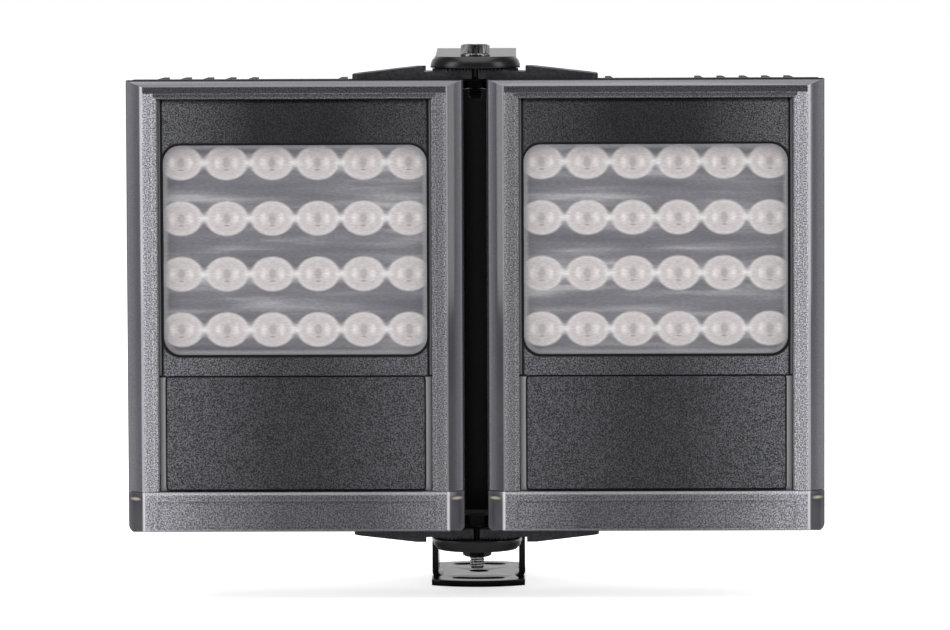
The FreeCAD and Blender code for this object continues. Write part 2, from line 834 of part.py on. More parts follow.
# Hinge arm of the lamp with its half of the toothed face
def top_arm():
    back_reach = arm_back_y - hinge_y
    slant_x = arm_inner_x + back_reach / math.tan(math.radians(arm_rear_angle))
    plan = [
        (arm_inner_x, arm_front_y, panel_top),
        (arm_outer_x, arm_front_y, panel_top),
        (arm_outer_x, arm_back_y, panel_top),
        (slant_x, arm_back_y, panel_top),
        (arm_inner_x, hinge_y, panel_top),
    ]
    blank = prism(plan, (0, 0, arm_lip_thickness))
    up = FreeCAD.Vector(0, 0, 1)
    blank = rounded_along(blank, up, arm_corner, lambda point: point.x > arm_outer_x - arm_corner)
    profile = [
        (0, arm_front_y - through, panel_top),
        (arm_outer_x, arm_front_y - through, panel_top),
        (arm_outer_x, arm_front_y - through, panel_top + arm_end_thickness),
        (arm_seat_radius, arm_front_y - through, panel_top + arm_lip_thickness),
        (0, arm_front_y - through, panel_top + arm_lip_thickness),
    ]
    wedge = prism(profile, (0, arm_back_y - arm_front_y + 2 * through, 0))
    blank = blank.common(wedge)
    seat = rod_z(arm_seat_radius, 0, hinge_y, arm_seat_z, disc_top_z)
    raised = blank.common(bar_z(tooth_outer_radius, 0, hinge_y, arm_seat_z, tooth_tip_z, tooth_count))
    arm = blank.cut(seat)
    arm = joined([arm, raised])
    step = 360.0 / tooth_count
    grooves = [groove(step * number) for number in range(tooth_count)
               if math.cos(math.radians(step * number)) > -0.1]
    cuts = [rod_z(hub_radius + hub_clearance, 0, hinge_y, panel_top - through, disc_top_z)]
    cuts += [sunk_screw(x, panel_top - through, arm_lip_thickness) for x in arm_screw_x]
    return without(arm.cut(grooves), cuts)


def arm_screws():
    screws = []
    for x in arm_screw_x:
        screw = sunk_screw(x, panel_top + arm_lip_thickness - arm_screw_length, 0.0)
        screws.append(screw)
        screws.append(mirror_z(screw))
    return Part.makeCompound(screws)


# Half of the cast spine: disc, hub and arm above the lamps
def spine_profile():
    under = disc_bottom_z + spine_arm_relief
    top = disc_top_z
    upper = [
        (hinge_y, under),
        (hinge_y, top),
        (spine_slope_start_y, top),
        (spine_wall_back_y, top + spine_rise),
    ]
    inner = [
        (spine_wall_front_y, under - spine_gusset),
        (spine_wall_front_y - spine_gusset, under),
    ]
    outline = upper + [(y, 2 * middle_z - z) for y, z in reversed(upper)]
    outline += [(y, 2 * middle_z - z) for y, z in reversed(inner)]
    outline += inner
    return [(-spine_half, y, z) for y, z in outline]


def spine():
    channel = prism(spine_profile(), (2 * spine_half, 0, 0))
    bevel_z = disc_top_z - disc_bevel_height
    shoulder_z = bevel_z - disc_shoulder_height
    disc = rod_z(disc_radius, 0, hinge_y, disc_bottom_z, shoulder_z)
    shoulder = Part.makeCone(disc_radius, disc_radius - disc_shoulder, disc_shoulder_height,
                             FreeCAD.Vector(0, hinge_y, shoulder_z))
    bevel = Part.makeCone(disc_radius - disc_shoulder, disc_radius - disc_bevel, disc_bevel_height,
                          FreeCAD.Vector(0, hinge_y, bevel_z))
    disc = joined([disc, shoulder, bevel])
    hub = rod_z(hub_radius, 0, hinge_y, disc_bottom_z - hub_length, disc_bottom_z + through)
    pieces = [channel, disc, hub, mirror_z(disc), mirror_z(hub)]
    rib_low = 2 * middle_z - disc_bottom_z + rib_end
    rib_high = disc_bottom_z - rib_end
    for side in (-1, 1):
        points = [
            (side * spine_half, spine_wall_back_y, rib_low - rib_depth),
            (side * spine_half, spine_wall_back_y + rib_depth, rib_low),
            (side * spine_half, spine_wall_back_y + rib_depth, rib_high),
            (side * spine_half, spine_wall_back_y, rib_high + rib_depth),
        ]
        pieces.append(prism(points, (-side * rib_width, 0, 0)))
    pieces.append(rod_x(lug_radius, -lug_half, lug_half, 0, pivot_height))
    pieces.append(box(-lug_half, lug_half, spine_wall_back_y, 0, pivot_height - lug_radius,
                      pivot_height + lug_radius))
    body = joined(pieces)
    cuts = [bar_z(bolt_hole_radius, 0, hinge_y, 0, disc_top_z + far / 4, stem_sides)]
    for side in (-1, 1):
        cuts.append(bar_x(friction_washer_radius + 2 * through, side * lug_half,
                          side * (spine_half + through), 0, pivot_height, washer_sides))
        cuts.append(rod_x(bolt_radius + tilt_clearance, side * (leg_outer - sheet - tilt_bolt_length),
                          side * spine_half, 0, pivot_height))
    return without(body, cuts)


# M6 hardware of the hinge
def pivot_bolts():
    top_seat = disc_top_z + washer_thickness
    low_seat = panel_bottom + thrust_clearance + washer_thickness
    bolts = []
    for seat in (top_seat, low_seat):
        head = hex_z(bolt_flats, 0, hinge_y, seat, seat + bolt_head)
        shank = bar_z(bolt_radius, 0, hinge_y, seat - bolt_length, seat, stem_sides)
        bolts.append(joined([head, shank]))
    return Part.makeCompound(bolts)


def pivot_nuts():
    top_seat = panel_top - thrust_clearance - washer_thickness
    low_seat = 2 * middle_z - disc_top_z
    nuts = []
    for seat in (top_seat, low_seat):
        nut = hex_z(bolt_flats, 0, hinge_y, seat - thin_nut, seat)
        bore = bar_z(bolt_radius, 0, hinge_y, seat - bolt_length, seat + through, stem_sides)
        nuts.append(without(nut, [bore]))
    return Part.makeCompound(nuts)


def ring_z(radius, z0, z1):
    ring = bar_z(radius, 0, hinge_y, z0, z1, washer_sides)
    return without(ring, [bar_z(bolt_hole_radius, 0, hinge_y, z0 - through, z1 + through, stem_sides)])


def thrust_washers():
    upper = panel_top - thrust_clearance
    lower = panel_bottom + thrust_clearance
    rings = [ring_z(thrust_washer_radius, upper - washer_thickness, upper),
             ring_z(thrust_washer_radius, lower, lower + washer_thickness)]
    return Part.makeCompound(rings)


def pivot_washer():
    return ring_z(washer_radius, disc_top_z, disc_top_z + washer_thickness)


def arc_slot(centre_angle):
    # Curved slot through the base, concentric with the base hole
    inner = slot_radius - slot_half_width
    outer = slot_radius + slot_half_width
    low = math.radians(centre_angle - slot_half_angle)
    high = math.radians(centre_angle + slot_half_angle)
    mid = math.radians(centre_angle)

    def at(radius, angle):
        return FreeCAD.Vector(radius * math.cos(angle), radius * math.sin(angle), -through)

    def round_end(angle, sign):
        centre = at(slot_radius, angle)
        bulge = FreeCAD.Vector(-math.sin(angle), math.cos(angle), 0) * (slot_half_width * sign)
        return centre + bulge

    edges = [
        Part.Arc(at(outer, low), at(outer, mid), at(outer, high)).toShape(),
        Part.Arc(at(outer, high), round_end(high, 1), at(inner, high)).toShape(),
        Part.Arc(at(inner, high), at(inner, mid), at(inner, low)).toShape(),
        Part.Arc(at(inner, low), round_end(low, -1), at(outer, low)).toShape(),
    ]
    face = Part.Face(Part.Wire(edges))
    return face.extrude(FreeCAD.Vector(0, 0, sheet + 2 * through))


# Folded sheet bracket with a slotted base
def u_bracket():
    inner = leg_outer - sheet
    half = leg_depth / 2
    along = FreeCAD.Vector(0, 1, 0)
    outside = box(-leg_outer, leg_outer, -half, half, 0, pivot_height + half)
    outside = rounded_along(outside, along, bend_radius + sheet, lambda point: point.z < sheet)
    inside = box(-inner, inner, -half - through, half + through, sheet, pivot_height + half + through)
    inside = rounded_along(inside, along, bend_radius, lambda point: point.z < sheet + bend_radius)
    folded = outside.cut(inside)
    side_view = joined([
        box(-leg_outer - through, leg_outer + through, -half, half, -through, pivot_height),
        rod_x(half, -leg_outer - through, leg_outer + through, 0, pivot_height),
    ])
    folded = folded.common(side_view)
    plate_edge = rod_z(base_radius, 0, 0, 0, sheet)
    plate = box(-leg_outer, leg_outer, -base_radius, base_radius, 0, sheet).common(plate_edge)
    up = FreeCAD.Vector(0, 0, 1)
    plate = rounded_along(plate, up, base_corner, lambda point: True)
    reliefs = []
    for side_x in (-1, 1):
        reliefs.append(box(side_x * (leg_outer + through), side_x * (leg_outer - sheet - bend_radius),
                           -half, half, -through, sheet + through))
    plate = plate.cut(reliefs)
    body = joined([plate, folded])
    cuts = [rod_z(base_hole_radius, 0, 0, -through, sheet + through), arc_slot(90.0), arc_slot(270.0)]
    cuts.append(bar_x(bolt_hole_radius, -far, far, 0, pivot_height, stem_sides))
    return without(body, cuts)


def ring_x(radius, x0, x1):
    ring = bar_x(radius, x0, x1, 0, pivot_height, washer_sides)
    low = min(x0, x1) - through
    high = max(x0, x1) + through
    return without(ring, [bar_x(bolt_hole_radius, low, high, 0, pivot_height, stem_sides)])


# Tilt hardware through the legs into the lug of the spine
def tilt_bolts():
    bolts = []
    for side in (-1, 1):
        seat = leg_outer + washer_thickness
        head = hex_x(bolt_flats, side * seat, side * (seat + bolt_head), 0, pivot_height)
        shank = bar_x(bolt_radius, side * (seat - tilt_bolt_length), side * seat, 0, pivot_height, stem_sides)
        bolts.append(joined([head, shank]))
    return Part.makeCompound(bolts)


def tilt_washers():
    rings = [ring_x(washer_radius, side * leg_outer, side * (leg_outer + washer_thickness)) for side in (-1, 1)]
    return Part.makeCompound(rings)


def friction_washers():
    inner = leg_outer - sheet
    rings = [ring_x(friction_washer_radius, side * (lug_half + tilt_clearance), side * inner)
             for side in (-1, 1)]
    return Part.makeCompound(rings)


save("u_bracket", u_bracket())
save("tilt_bolts", tilt_bolts())
save("tilt_washers", tilt_washers())
save("friction_washers", friction_washers())
save("spine", spine())
save("pivot_bolts", pivot_bolts())
save("pivot_nuts", pivot_nuts())
save("pivot_washer", pivot_washer())
save("thrust_washers", thrust_washers())

arm = top_arm()
save_pair("housing", housing())
save_pair("top_arm", arm)
save_pair("bottom_arm", mirror_z(arm))
save_pair("arm_screws", arm_screws())
save_pair("led_board", led_board())
save_pair("emitters", emitters())
save_pair("optics", optics())
save_pair("gasket", gasket())
save_pair("cover", cover())
save_pair("diffuser", diffuser())
save_pair("bezel", bezel())
save_pair("lens_frame", lens_frame())
save_pair("bottom_bar", bottom_bar())
save_pair("bar_screws", bar_screws())
save_pair("frame_screws", frame_screws())
save_pair("driver_board", driver_board())
save_pair("board_screws", board_screws())
save_pair("gland_body", gland_body())
save_pair("gland_nut", gland_nut())
save_pair("gland_seal", gland_seal())
save_pair("lock_nut", lock_nut())
save_pair("vent", vent())
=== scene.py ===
import json
import math

import bmesh
import bpy
from mathutils import Matrix, Vector


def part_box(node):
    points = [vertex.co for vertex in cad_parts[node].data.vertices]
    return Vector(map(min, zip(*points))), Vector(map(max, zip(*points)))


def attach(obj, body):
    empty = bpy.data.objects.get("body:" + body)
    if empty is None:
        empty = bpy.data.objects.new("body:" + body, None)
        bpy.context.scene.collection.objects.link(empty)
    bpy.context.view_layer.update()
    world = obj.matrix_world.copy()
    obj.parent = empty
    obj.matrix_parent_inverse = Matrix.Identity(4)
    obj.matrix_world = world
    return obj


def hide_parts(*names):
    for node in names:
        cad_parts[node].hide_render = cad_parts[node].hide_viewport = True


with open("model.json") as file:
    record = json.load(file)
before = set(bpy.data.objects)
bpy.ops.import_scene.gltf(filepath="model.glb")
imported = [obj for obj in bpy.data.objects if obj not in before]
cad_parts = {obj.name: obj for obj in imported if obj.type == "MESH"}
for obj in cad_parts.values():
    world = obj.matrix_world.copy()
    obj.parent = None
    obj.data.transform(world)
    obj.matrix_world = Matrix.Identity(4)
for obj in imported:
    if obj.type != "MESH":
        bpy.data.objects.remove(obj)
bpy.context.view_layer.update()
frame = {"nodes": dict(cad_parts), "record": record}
nodes = frame["nodes"]

# Millimetres are turned to metres once, here
MM = 0.001
SIDES = ("right", "left")

# Places taken from the frame
panel_low, panel_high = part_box("right_lens_frame")
bar_low, bar_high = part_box("right_bottom_bar")
window_low, window_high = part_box("right_diffuser")
lamp_x = (panel_low.x + panel_high.x) / 2
panel_top = panel_high.z
panel_bottom = bar_low.z
panel_half = (panel_high.x - panel_low.x) / 2
frame_front = panel_low.y / MM
hinge_y = -64.0
pivot_height = 0.059
# Heights between which the hinge bolts lie inside the spine
bolt_gap = (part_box("right_bottom_arm")[1].z - 0.5 * MM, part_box("right_top_arm")[0].z + 0.5 * MM)

# Array of emitters behind each window
led_columns = 6
led_rows = 4
led_pitch_x = 18.2 * MM
led_pitch_z = 22.25 * MM


def linear(colour):
    """An sRGB hex colour as the linear values that a shader takes."""
    values = []
    for start in (1, 3, 5):
        share = int(colour[start:start + 2], 16) / 255
        values.append(share / 12.92 if share <= 0.04045 else ((share + 0.055) / 1.055) ** 2.4)
    return (*values, 1.0)


def add(tree, kind, sockets=None, stops=None, **settings):
    """Adds one node with its settings, its socket values and links, and returns its first output."""
    made = tree.nodes.new(kind)
    for name, value in settings.items():
        setattr(made, name, value)
    if stops:
        elements = made.color_ramp.elements
        while len(elements) < len(stops):
            elements.new(1.0)
        for element, (place, colour) in zip(elements, stops):
            element.position = place
            element.color = linear(colour)
    for name, value in (sockets or {}).items():
        if isinstance(value, bpy.types.NodeSocket):
            tree.links.new(value, made.inputs[name])
        else:
            made.inputs[name].default_value = value
    return made.outputs[0] if made.outputs else made


def material(name, finish):
    """A material whose surface is what finish(tree) returns."""
    made = bpy.data.materials.new(name)
    made.use_nodes = True
    made.node_tree.nodes.clear()
    surface = finish(made.node_tree)
    add(made.node_tree, "ShaderNodeOutputMaterial", {"Surface": surface})
    return made


def rest_place(tree):
    """Place on the piece at rest, in metres, which moves with the piece."""
    return add(tree, "ShaderNodeTexCoord").node.outputs["Object"]


def lamp_place(tree):
    """Millimetres from the middle line of the lamp, and height above its lower edge."""
    place = add(tree, "ShaderNodeSeparateXYZ", {0: rest_place(tree)}).node
    mirrored = add(tree, "ShaderNodeMath", {0: place.outputs["X"]}, operation="ABSOLUTE")
    across = add(tree, "ShaderNodeMath", {0: mirrored, 1: 1 / MM, 2: -lamp_x / MM}, operation="MULTIPLY_ADD")
    height = add(tree, "ShaderNodeMath", {0: place.outputs["Z"], 1: 1 / MM, 2: -panel_bottom / MM},
                 operation="MULTIPLY_ADD")
    return across, height


def speckle(tree, size, stretch=(1.0, 1.0, 1.0), detail=3.0):
    """Noise whose patches are about size millimetres across."""
    mapped = add(tree, "ShaderNodeMapping", {"Vector": rest_place(tree), "Scale": stretch})
    return add(tree, "ShaderNodeTexNoise", {"Vector": mapped, "Scale": 1 / (size * MM), "Detail": detail})


def blotched(tree, size, dark, light, **kept):
    """Two near tones in soft patches about size millimetres across."""
    return add(tree, "ShaderNodeValToRGB", {"Fac": speckle(tree, size, **kept)},
               stops=[(0.3, dark), (0.7, light)])


def rippled(tree, size, depth, strength, **kept):
    """Surface relief from noise: size and depth in millimetres."""
    return add(tree, "ShaderNodeBump", {"Height": speckle(tree, size, **kept), "Strength": strength,
                                        "Distance": depth * MM})


# Die-cast aluminium under black powder coat, sprayed and baked: a dull deep black skin
# with a fine orange peel, slightly greyer where it is thin
def powder_coat(tree):
    return add(tree, "ShaderNodeBsdfPrincipled",
               {"Base Color": blotched(tree, 2.4, "#131315", "#1d1d20"), "Roughness": 0.6, "IOR": 1.5,
                "Specular IOR Level": 0.22, "Normal": rippled(tree, 0.45, 0.12, 0.35, detail=2.0)})


# The spine has the same coat rubbed smoother, so that its top turns pale at a low angle
def smooth_powder_coat(tree):
    return add(tree, "ShaderNodeBsdfPrincipled",
               {"Base Color": blotched(tree, 2.0, "#0b0b0d", "#141417"), "Roughness": 0.3, "IOR": 1.5,
                "Normal": rippled(tree, 0.5, 0.1, 0.3, detail=2.0)})


# Hinge arms, pressure-cast zinc with a thin black paint: the grain of the casting
# still shows through the paint as small grey patches
def cast_arm_paint(tree):
    return add(tree, "ShaderNodeBsdfPrincipled",
               {"Base Color": blotched(tree, 1.3, "#222226", "#3c3b40", detail=5.0), "Roughness": 0.45,
                "IOR": 1.5, "Specular IOR Level": 0.4, "Normal": rippled(tree, 0.6, 0.15, 0.5)})


# Folded steel sheet in smooth stove enamel: glossy black that mirrors the room at a
# low angle, with a very slight ripple
def stove_enamel(tree):
    enamel = add(tree, "ShaderNodeBsdfPrincipled",
                 {"Base Color": blotched(tree, 6.0, "#09090a", "#101012"), "Roughness": 0.18, "IOR": 1.5,
                  "Specular IOR Level": 0.36, "Normal": rippled(tree, 1.2, 0.1, 0.12)})
    # A thin film of dust takes some of the mirror away
    dust = add(tree, "ShaderNodeBsdfPrincipled",
               {"Base Color": blotched(tree, 2.0, "#111112", "#161617"), "Roughness": 0.9, "IOR": 1.5,
                "Specular IOR Level": 0.0})
    return add(tree, "ShaderNodeMixShader", {0: 0.27, 1: enamel, 2: dust})


# Stainless steel, cold headed and tumbled: soft grey metal with drawn streaks
def stainless_steel(tree):
    streak = speckle(tree, 0.7, stretch=(1.0, 1.0, 0.12))
    tone = add(tree, "ShaderNodeValToRGB", {"Fac": streak},
               stops=[(0.36, "#403f3e"), (0.5, "#878583"), (0.62, "#cfcdc9")])
    rough = add(tree, "ShaderNodeMapRange", {"Value": streak, "To Min": 0.16, "To Max": 0.3})
    return add(tree, "ShaderNodeBsdfPrincipled",
               {"Base Color": tone, "Metallic": 1.0, "Roughness": rough})


# Hinge bolts, of the same steel. Their parts inside the spine are painted as dull and black
# as the casting, as painted shade in the gap. The rolled thread below is painted brighter
# than the heads, as light on it
def hinge_bolt_steel(tree):
    height = add(tree, "ShaderNodeSeparateXYZ", {0: rest_place(tree)}).node.outputs["Z"]
    above = add(tree, "ShaderNodeMath", {0: height, 1: bolt_gap[0]}, operation="GREATER_THAN")
    under = add(tree, "ShaderNodeMath", {0: height, 1: bolt_gap[1]}, operation="LESS_THAN")
    gap_shade = add(tree, "ShaderNodeMath", {0: above, 1: under}, operation="MULTIPLY")
    below = add(tree, "ShaderNodeMath", {0: height, 1: bolt_gap[0]}, operation="LESS_THAN")
    # The grooves of the thread are painted dark as shade, and its crests pale as painted highlights
    off_axis = add(tree, "ShaderNodeVectorMath", {0: rest_place(tree), 1: (0.0, hinge_y * MM, 0.0)},
                   operation="SUBTRACT")
    level = add(tree, "ShaderNodeVectorMath", {0: off_axis, 1: (1.0, 1.0, 0.0)}, operation="MULTIPLY")
    radius = add(tree, "ShaderNodeVectorMath", {0: level}, operation="LENGTH").node.outputs["Value"]
    crest_light = add(tree, "ShaderNodeMapRange", {"Value": radius, "From Min": 2.55 * MM, "From Max": 2.9 * MM})
    rolled_tone = laid_over(tree, crest_light, linear("#737270"), blotched(tree, 0.5, "#dad8d4", "#fbf9f5"))
    rolled = add(tree, "ShaderNodeBsdfPrincipled",
                 {"Base Color": rolled_tone, "Metallic": 1.0, "Roughness": 0.24})
    steel = add(tree, "ShaderNodeMixShader", {0: below, 1: stainless_steel(tree), 2: rolled})
    return add(tree, "ShaderNodeMixShader", {0: gap_shade, 1: steel, 2: powder_coat(tree)})


# Steel nut in black zinc: dark and slightly bluish, bright only where the light strikes
def black_zinc(tree):
    return add(tree, "ShaderNodeBsdfPrincipled",
               {"Base Color": blotched(tree, 0.7, "#101012", "#222225"), "Metallic": 1.0, "Roughness": 0.32})


# Nylon washer, punched from sheet: matt, slightly greasy black
def nylon(tree):
    return add(tree, "ShaderNodeBsdfPrincipled",
               {"Base Color": blotched(tree, 1.5, "#1c1c1c", "#262625"), "Roughness": 0.5, "IOR": 1.53})


# Nylon gland and vent, moulded: satin black with a light spark texture
def moulded_nylon(tree):
    return add(tree, "ShaderNodeBsdfPrincipled",
               {"Base Color": blotched(tree, 1.1, "#1b1b1c", "#262627"), "Roughness": 0.38, "IOR": 1.53,
                "Normal": rippled(tree, 0.3, 0.08, 0.3)})


def rounded_distance(tree, across, height, half, low, high, corner):
    """Millimetres outside a rounded rectangle of the lamp's front."""
    centred = add(tree, "ShaderNodeMath", {0: height, 1: (low + high) / 2}, operation="SUBTRACT")
    place = add(tree, "ShaderNodeCombineXYZ", {"X": across, "Z": centred})
    folded = add(tree, "ShaderNodeVectorMath", {0: place}, operation="ABSOLUTE")
    past = add(tree, "ShaderNodeVectorMath",
               {0: folded, 1: (half - corner, 0.0, (high - low) / 2 - corner)}, operation="SUBTRACT")
    outside = add(tree, "ShaderNodeVectorMath", {0: past, 1: (0.0, 0.0, 0.0)}, operation="MAXIMUM")
    reach = add(tree, "ShaderNodeVectorMath", {0: outside}, operation="LENGTH").node.outputs["Value"]
    return add(tree, "ShaderNodeMath", {0: reach, 1: corner}, operation="SUBTRACT")


def near(tree, distance, place, width):
    """A soft line, width millimetres wide, where a distance has a given value."""
    off = add(tree, "ShaderNodeMath", {0: distance, 1: place}, operation="SUBTRACT")
    away = add(tree, "ShaderNodeMath", {0: off}, operation="ABSOLUTE")
    return add(tree, "ShaderNodeMapRange", {"Value": away, "From Min": width * 0.7, "From Max": width * 0.3})


def grained(tree, tone, grain, least, most):
    """A tone made darker and lighter by grain."""
    dots = add(tree, "ShaderNodeMapRange", {"Value": grain, "From Min": 0.4, "From Max": 0.64,
                                            "To Min": least, "To Max": most})
    return add(tree, "ShaderNodeVectorMath", {0: tone, "Scale": dots}, operation="SCALE")


def laid_over(tree, share, under, over):
    return add(tree, "ShaderNodeMix", {0: share, 6: under, 7: over}, data_type="RGBA").node.outputs[2]


# Outline of the window and of the plain pad, in millimetres on the front of the lamp
window_outline = (52.6, 71.3, 155.1, 7.0)
pad_outline = (51.4, 17.6, 62.5, 1.2)


# Bezel, injection-moulded black ABS from a spark-eroded mould: a dull black skin
# whose grain catches the light as small grey dots, drawn coarse to show. It is painted paler
# towards both sides, as light where the softboxes strike, and its rebates are painted black as shade
def spark_grained_abs(tree):
    across, height = lamp_place(tree)
    # Painted light: the tone grows paler towards both sides, where the softboxes strike
    side_share = add(tree, "ShaderNodeMapRange", {"Value": across, "From Min": -52.0, "From Max": 52.0})
    upper = add(tree, "ShaderNodeValToRGB", {"Fac": side_share},
                stops=[(0.0, "#333337"), (0.35, "#1a1a1d"), (0.65, "#1d1d20"), (1.0, "#464649")])
    lower = add(tree, "ShaderNodeValToRGB", {"Fac": side_share},
                stops=[(0.0, "#3f3f43"), (0.4, "#2a2a2e"), (0.6, "#2c2c30"), (1.0, "#48484c")])
    above_pad = add(tree, "ShaderNodeMapRange", {"Value": height, "From Min": pad_outline[2],
                                                 "From Max": pad_outline[2] + 0.6, "To Min": 1.0, "To Max": 1.4})
    lower = add(tree, "ShaderNodeVectorMath", {0: lower, "Scale": above_pad}, operation="SCALE")
    below = add(tree, "ShaderNodeMapRange", {"Value": height, "From Min": 84.0, "From Max": 74.0})
    painted_side_light = laid_over(tree, below, upper, lower)
    grain = speckle(tree, 0.55, detail=3.0)
    skin = grained(tree, painted_side_light, grain, 0.3, 2.7)
    # A lower strip runs along each side, wider beside the pad, painted pale as light on its bevel, with a black step
    # next to it painted as shade
    from_middle = add(tree, "ShaderNodeMath", {0: across}, operation="ABSOLUTE")
    beside_pad = add(tree, "ShaderNodeMath", {0: height, 1: pad_outline[2]}, operation="LESS_THAN")
    strip_edge = add(tree, "ShaderNodeMath", {0: beside_pad, 1: -1.7, 2: 53.5}, operation="MULTIPLY_ADD")
    painted_light_strip = add(tree, "ShaderNodeMath", {0: from_middle, 1: strip_edge}, operation="GREATER_THAN")
    skin = laid_over(tree, painted_light_strip, skin, linear("#8c8c90"))
    window = rounded_distance(tree, across, height, *window_outline)
    pad = rounded_distance(tree, across, height, *pad_outline)
    step_shade = add(tree, "ShaderNodeMath", {0: near(tree, from_middle, 53.1, 1.0), 1: beside_pad},
                   operation="SUBTRACT", use_clamp=True)
    at_side = add(tree, "ShaderNodeMath", {0: from_middle, 1: pad_outline[0]}, operation="GREATER_THAN")
    shelf_shade = add(tree, "ShaderNodeMath", {0: near(tree, height, pad_outline[2] + 0.35, 0.8), 1: at_side},
                operation="MULTIPLY")
    # Painted shade: black lines in the rebates round the window and the pad, and at the steps beside them
    for line in (near(tree, window, 0.35, 1.3), near(tree, pad, 0.3, 0.65), step_shade, shelf_shade):
        skin = laid_over(tree, line, skin, linear("#08080a"))
    relief = add(tree, "ShaderNodeBump", {"Height": grain, "Strength": 0.5, "Distance": 0.15 * MM})
    return add(tree, "ShaderNodeBsdfPrincipled",
               {"Base Color": skin, "Roughness": 0.5, "IOR": 1.53, "Specular IOR Level": 0.35,
                "Normal": relief})


# Lens frame, moulded smoked polycarbonate: polished bevels round a frosted band that
# scatters the light. Their tones are painted light and shade: dark towards the inside,
# with painted highlights as bright lines at their edges.
# Each pair is millimetres from the middle of the lamp, or below its top, and a tone
frame_band_light = [
    (54.4, "#807f84"), (54.8, "#4d4c51"), (55.3, "#a2a1a7"), (56.2, "#9b9aa0"), (56.7, "#b4b3b9"),
    (57.2, "#98979d"), (59.6, "#9a999f"), (60.3, "#b0afb5"), (60.8, "#b4b3b9"), (61.3, "#a9a8ae"),
    (61.8, "#56555b"), (63.4, "#5d5c62"), (65.2, "#6f6e74"), (66.3, "#737278"), (66.9, "#7d7c82"),
    (67.35, "#2c2b30"),
]
frame_strip_light = [
    (0.0, "#1c1b20"), (0.3, "#29282d"), (0.7, "#8a888e"), (2.3, "#848289"), (2.8, "#37363b"), (5.0, "#3a393f"),
    (5.3, "#66656b"), (5.7, "#4a494f"), (6.7, "#4f4e54"), (7.1, "#6a696f"), (7.4, "#232226"),
]


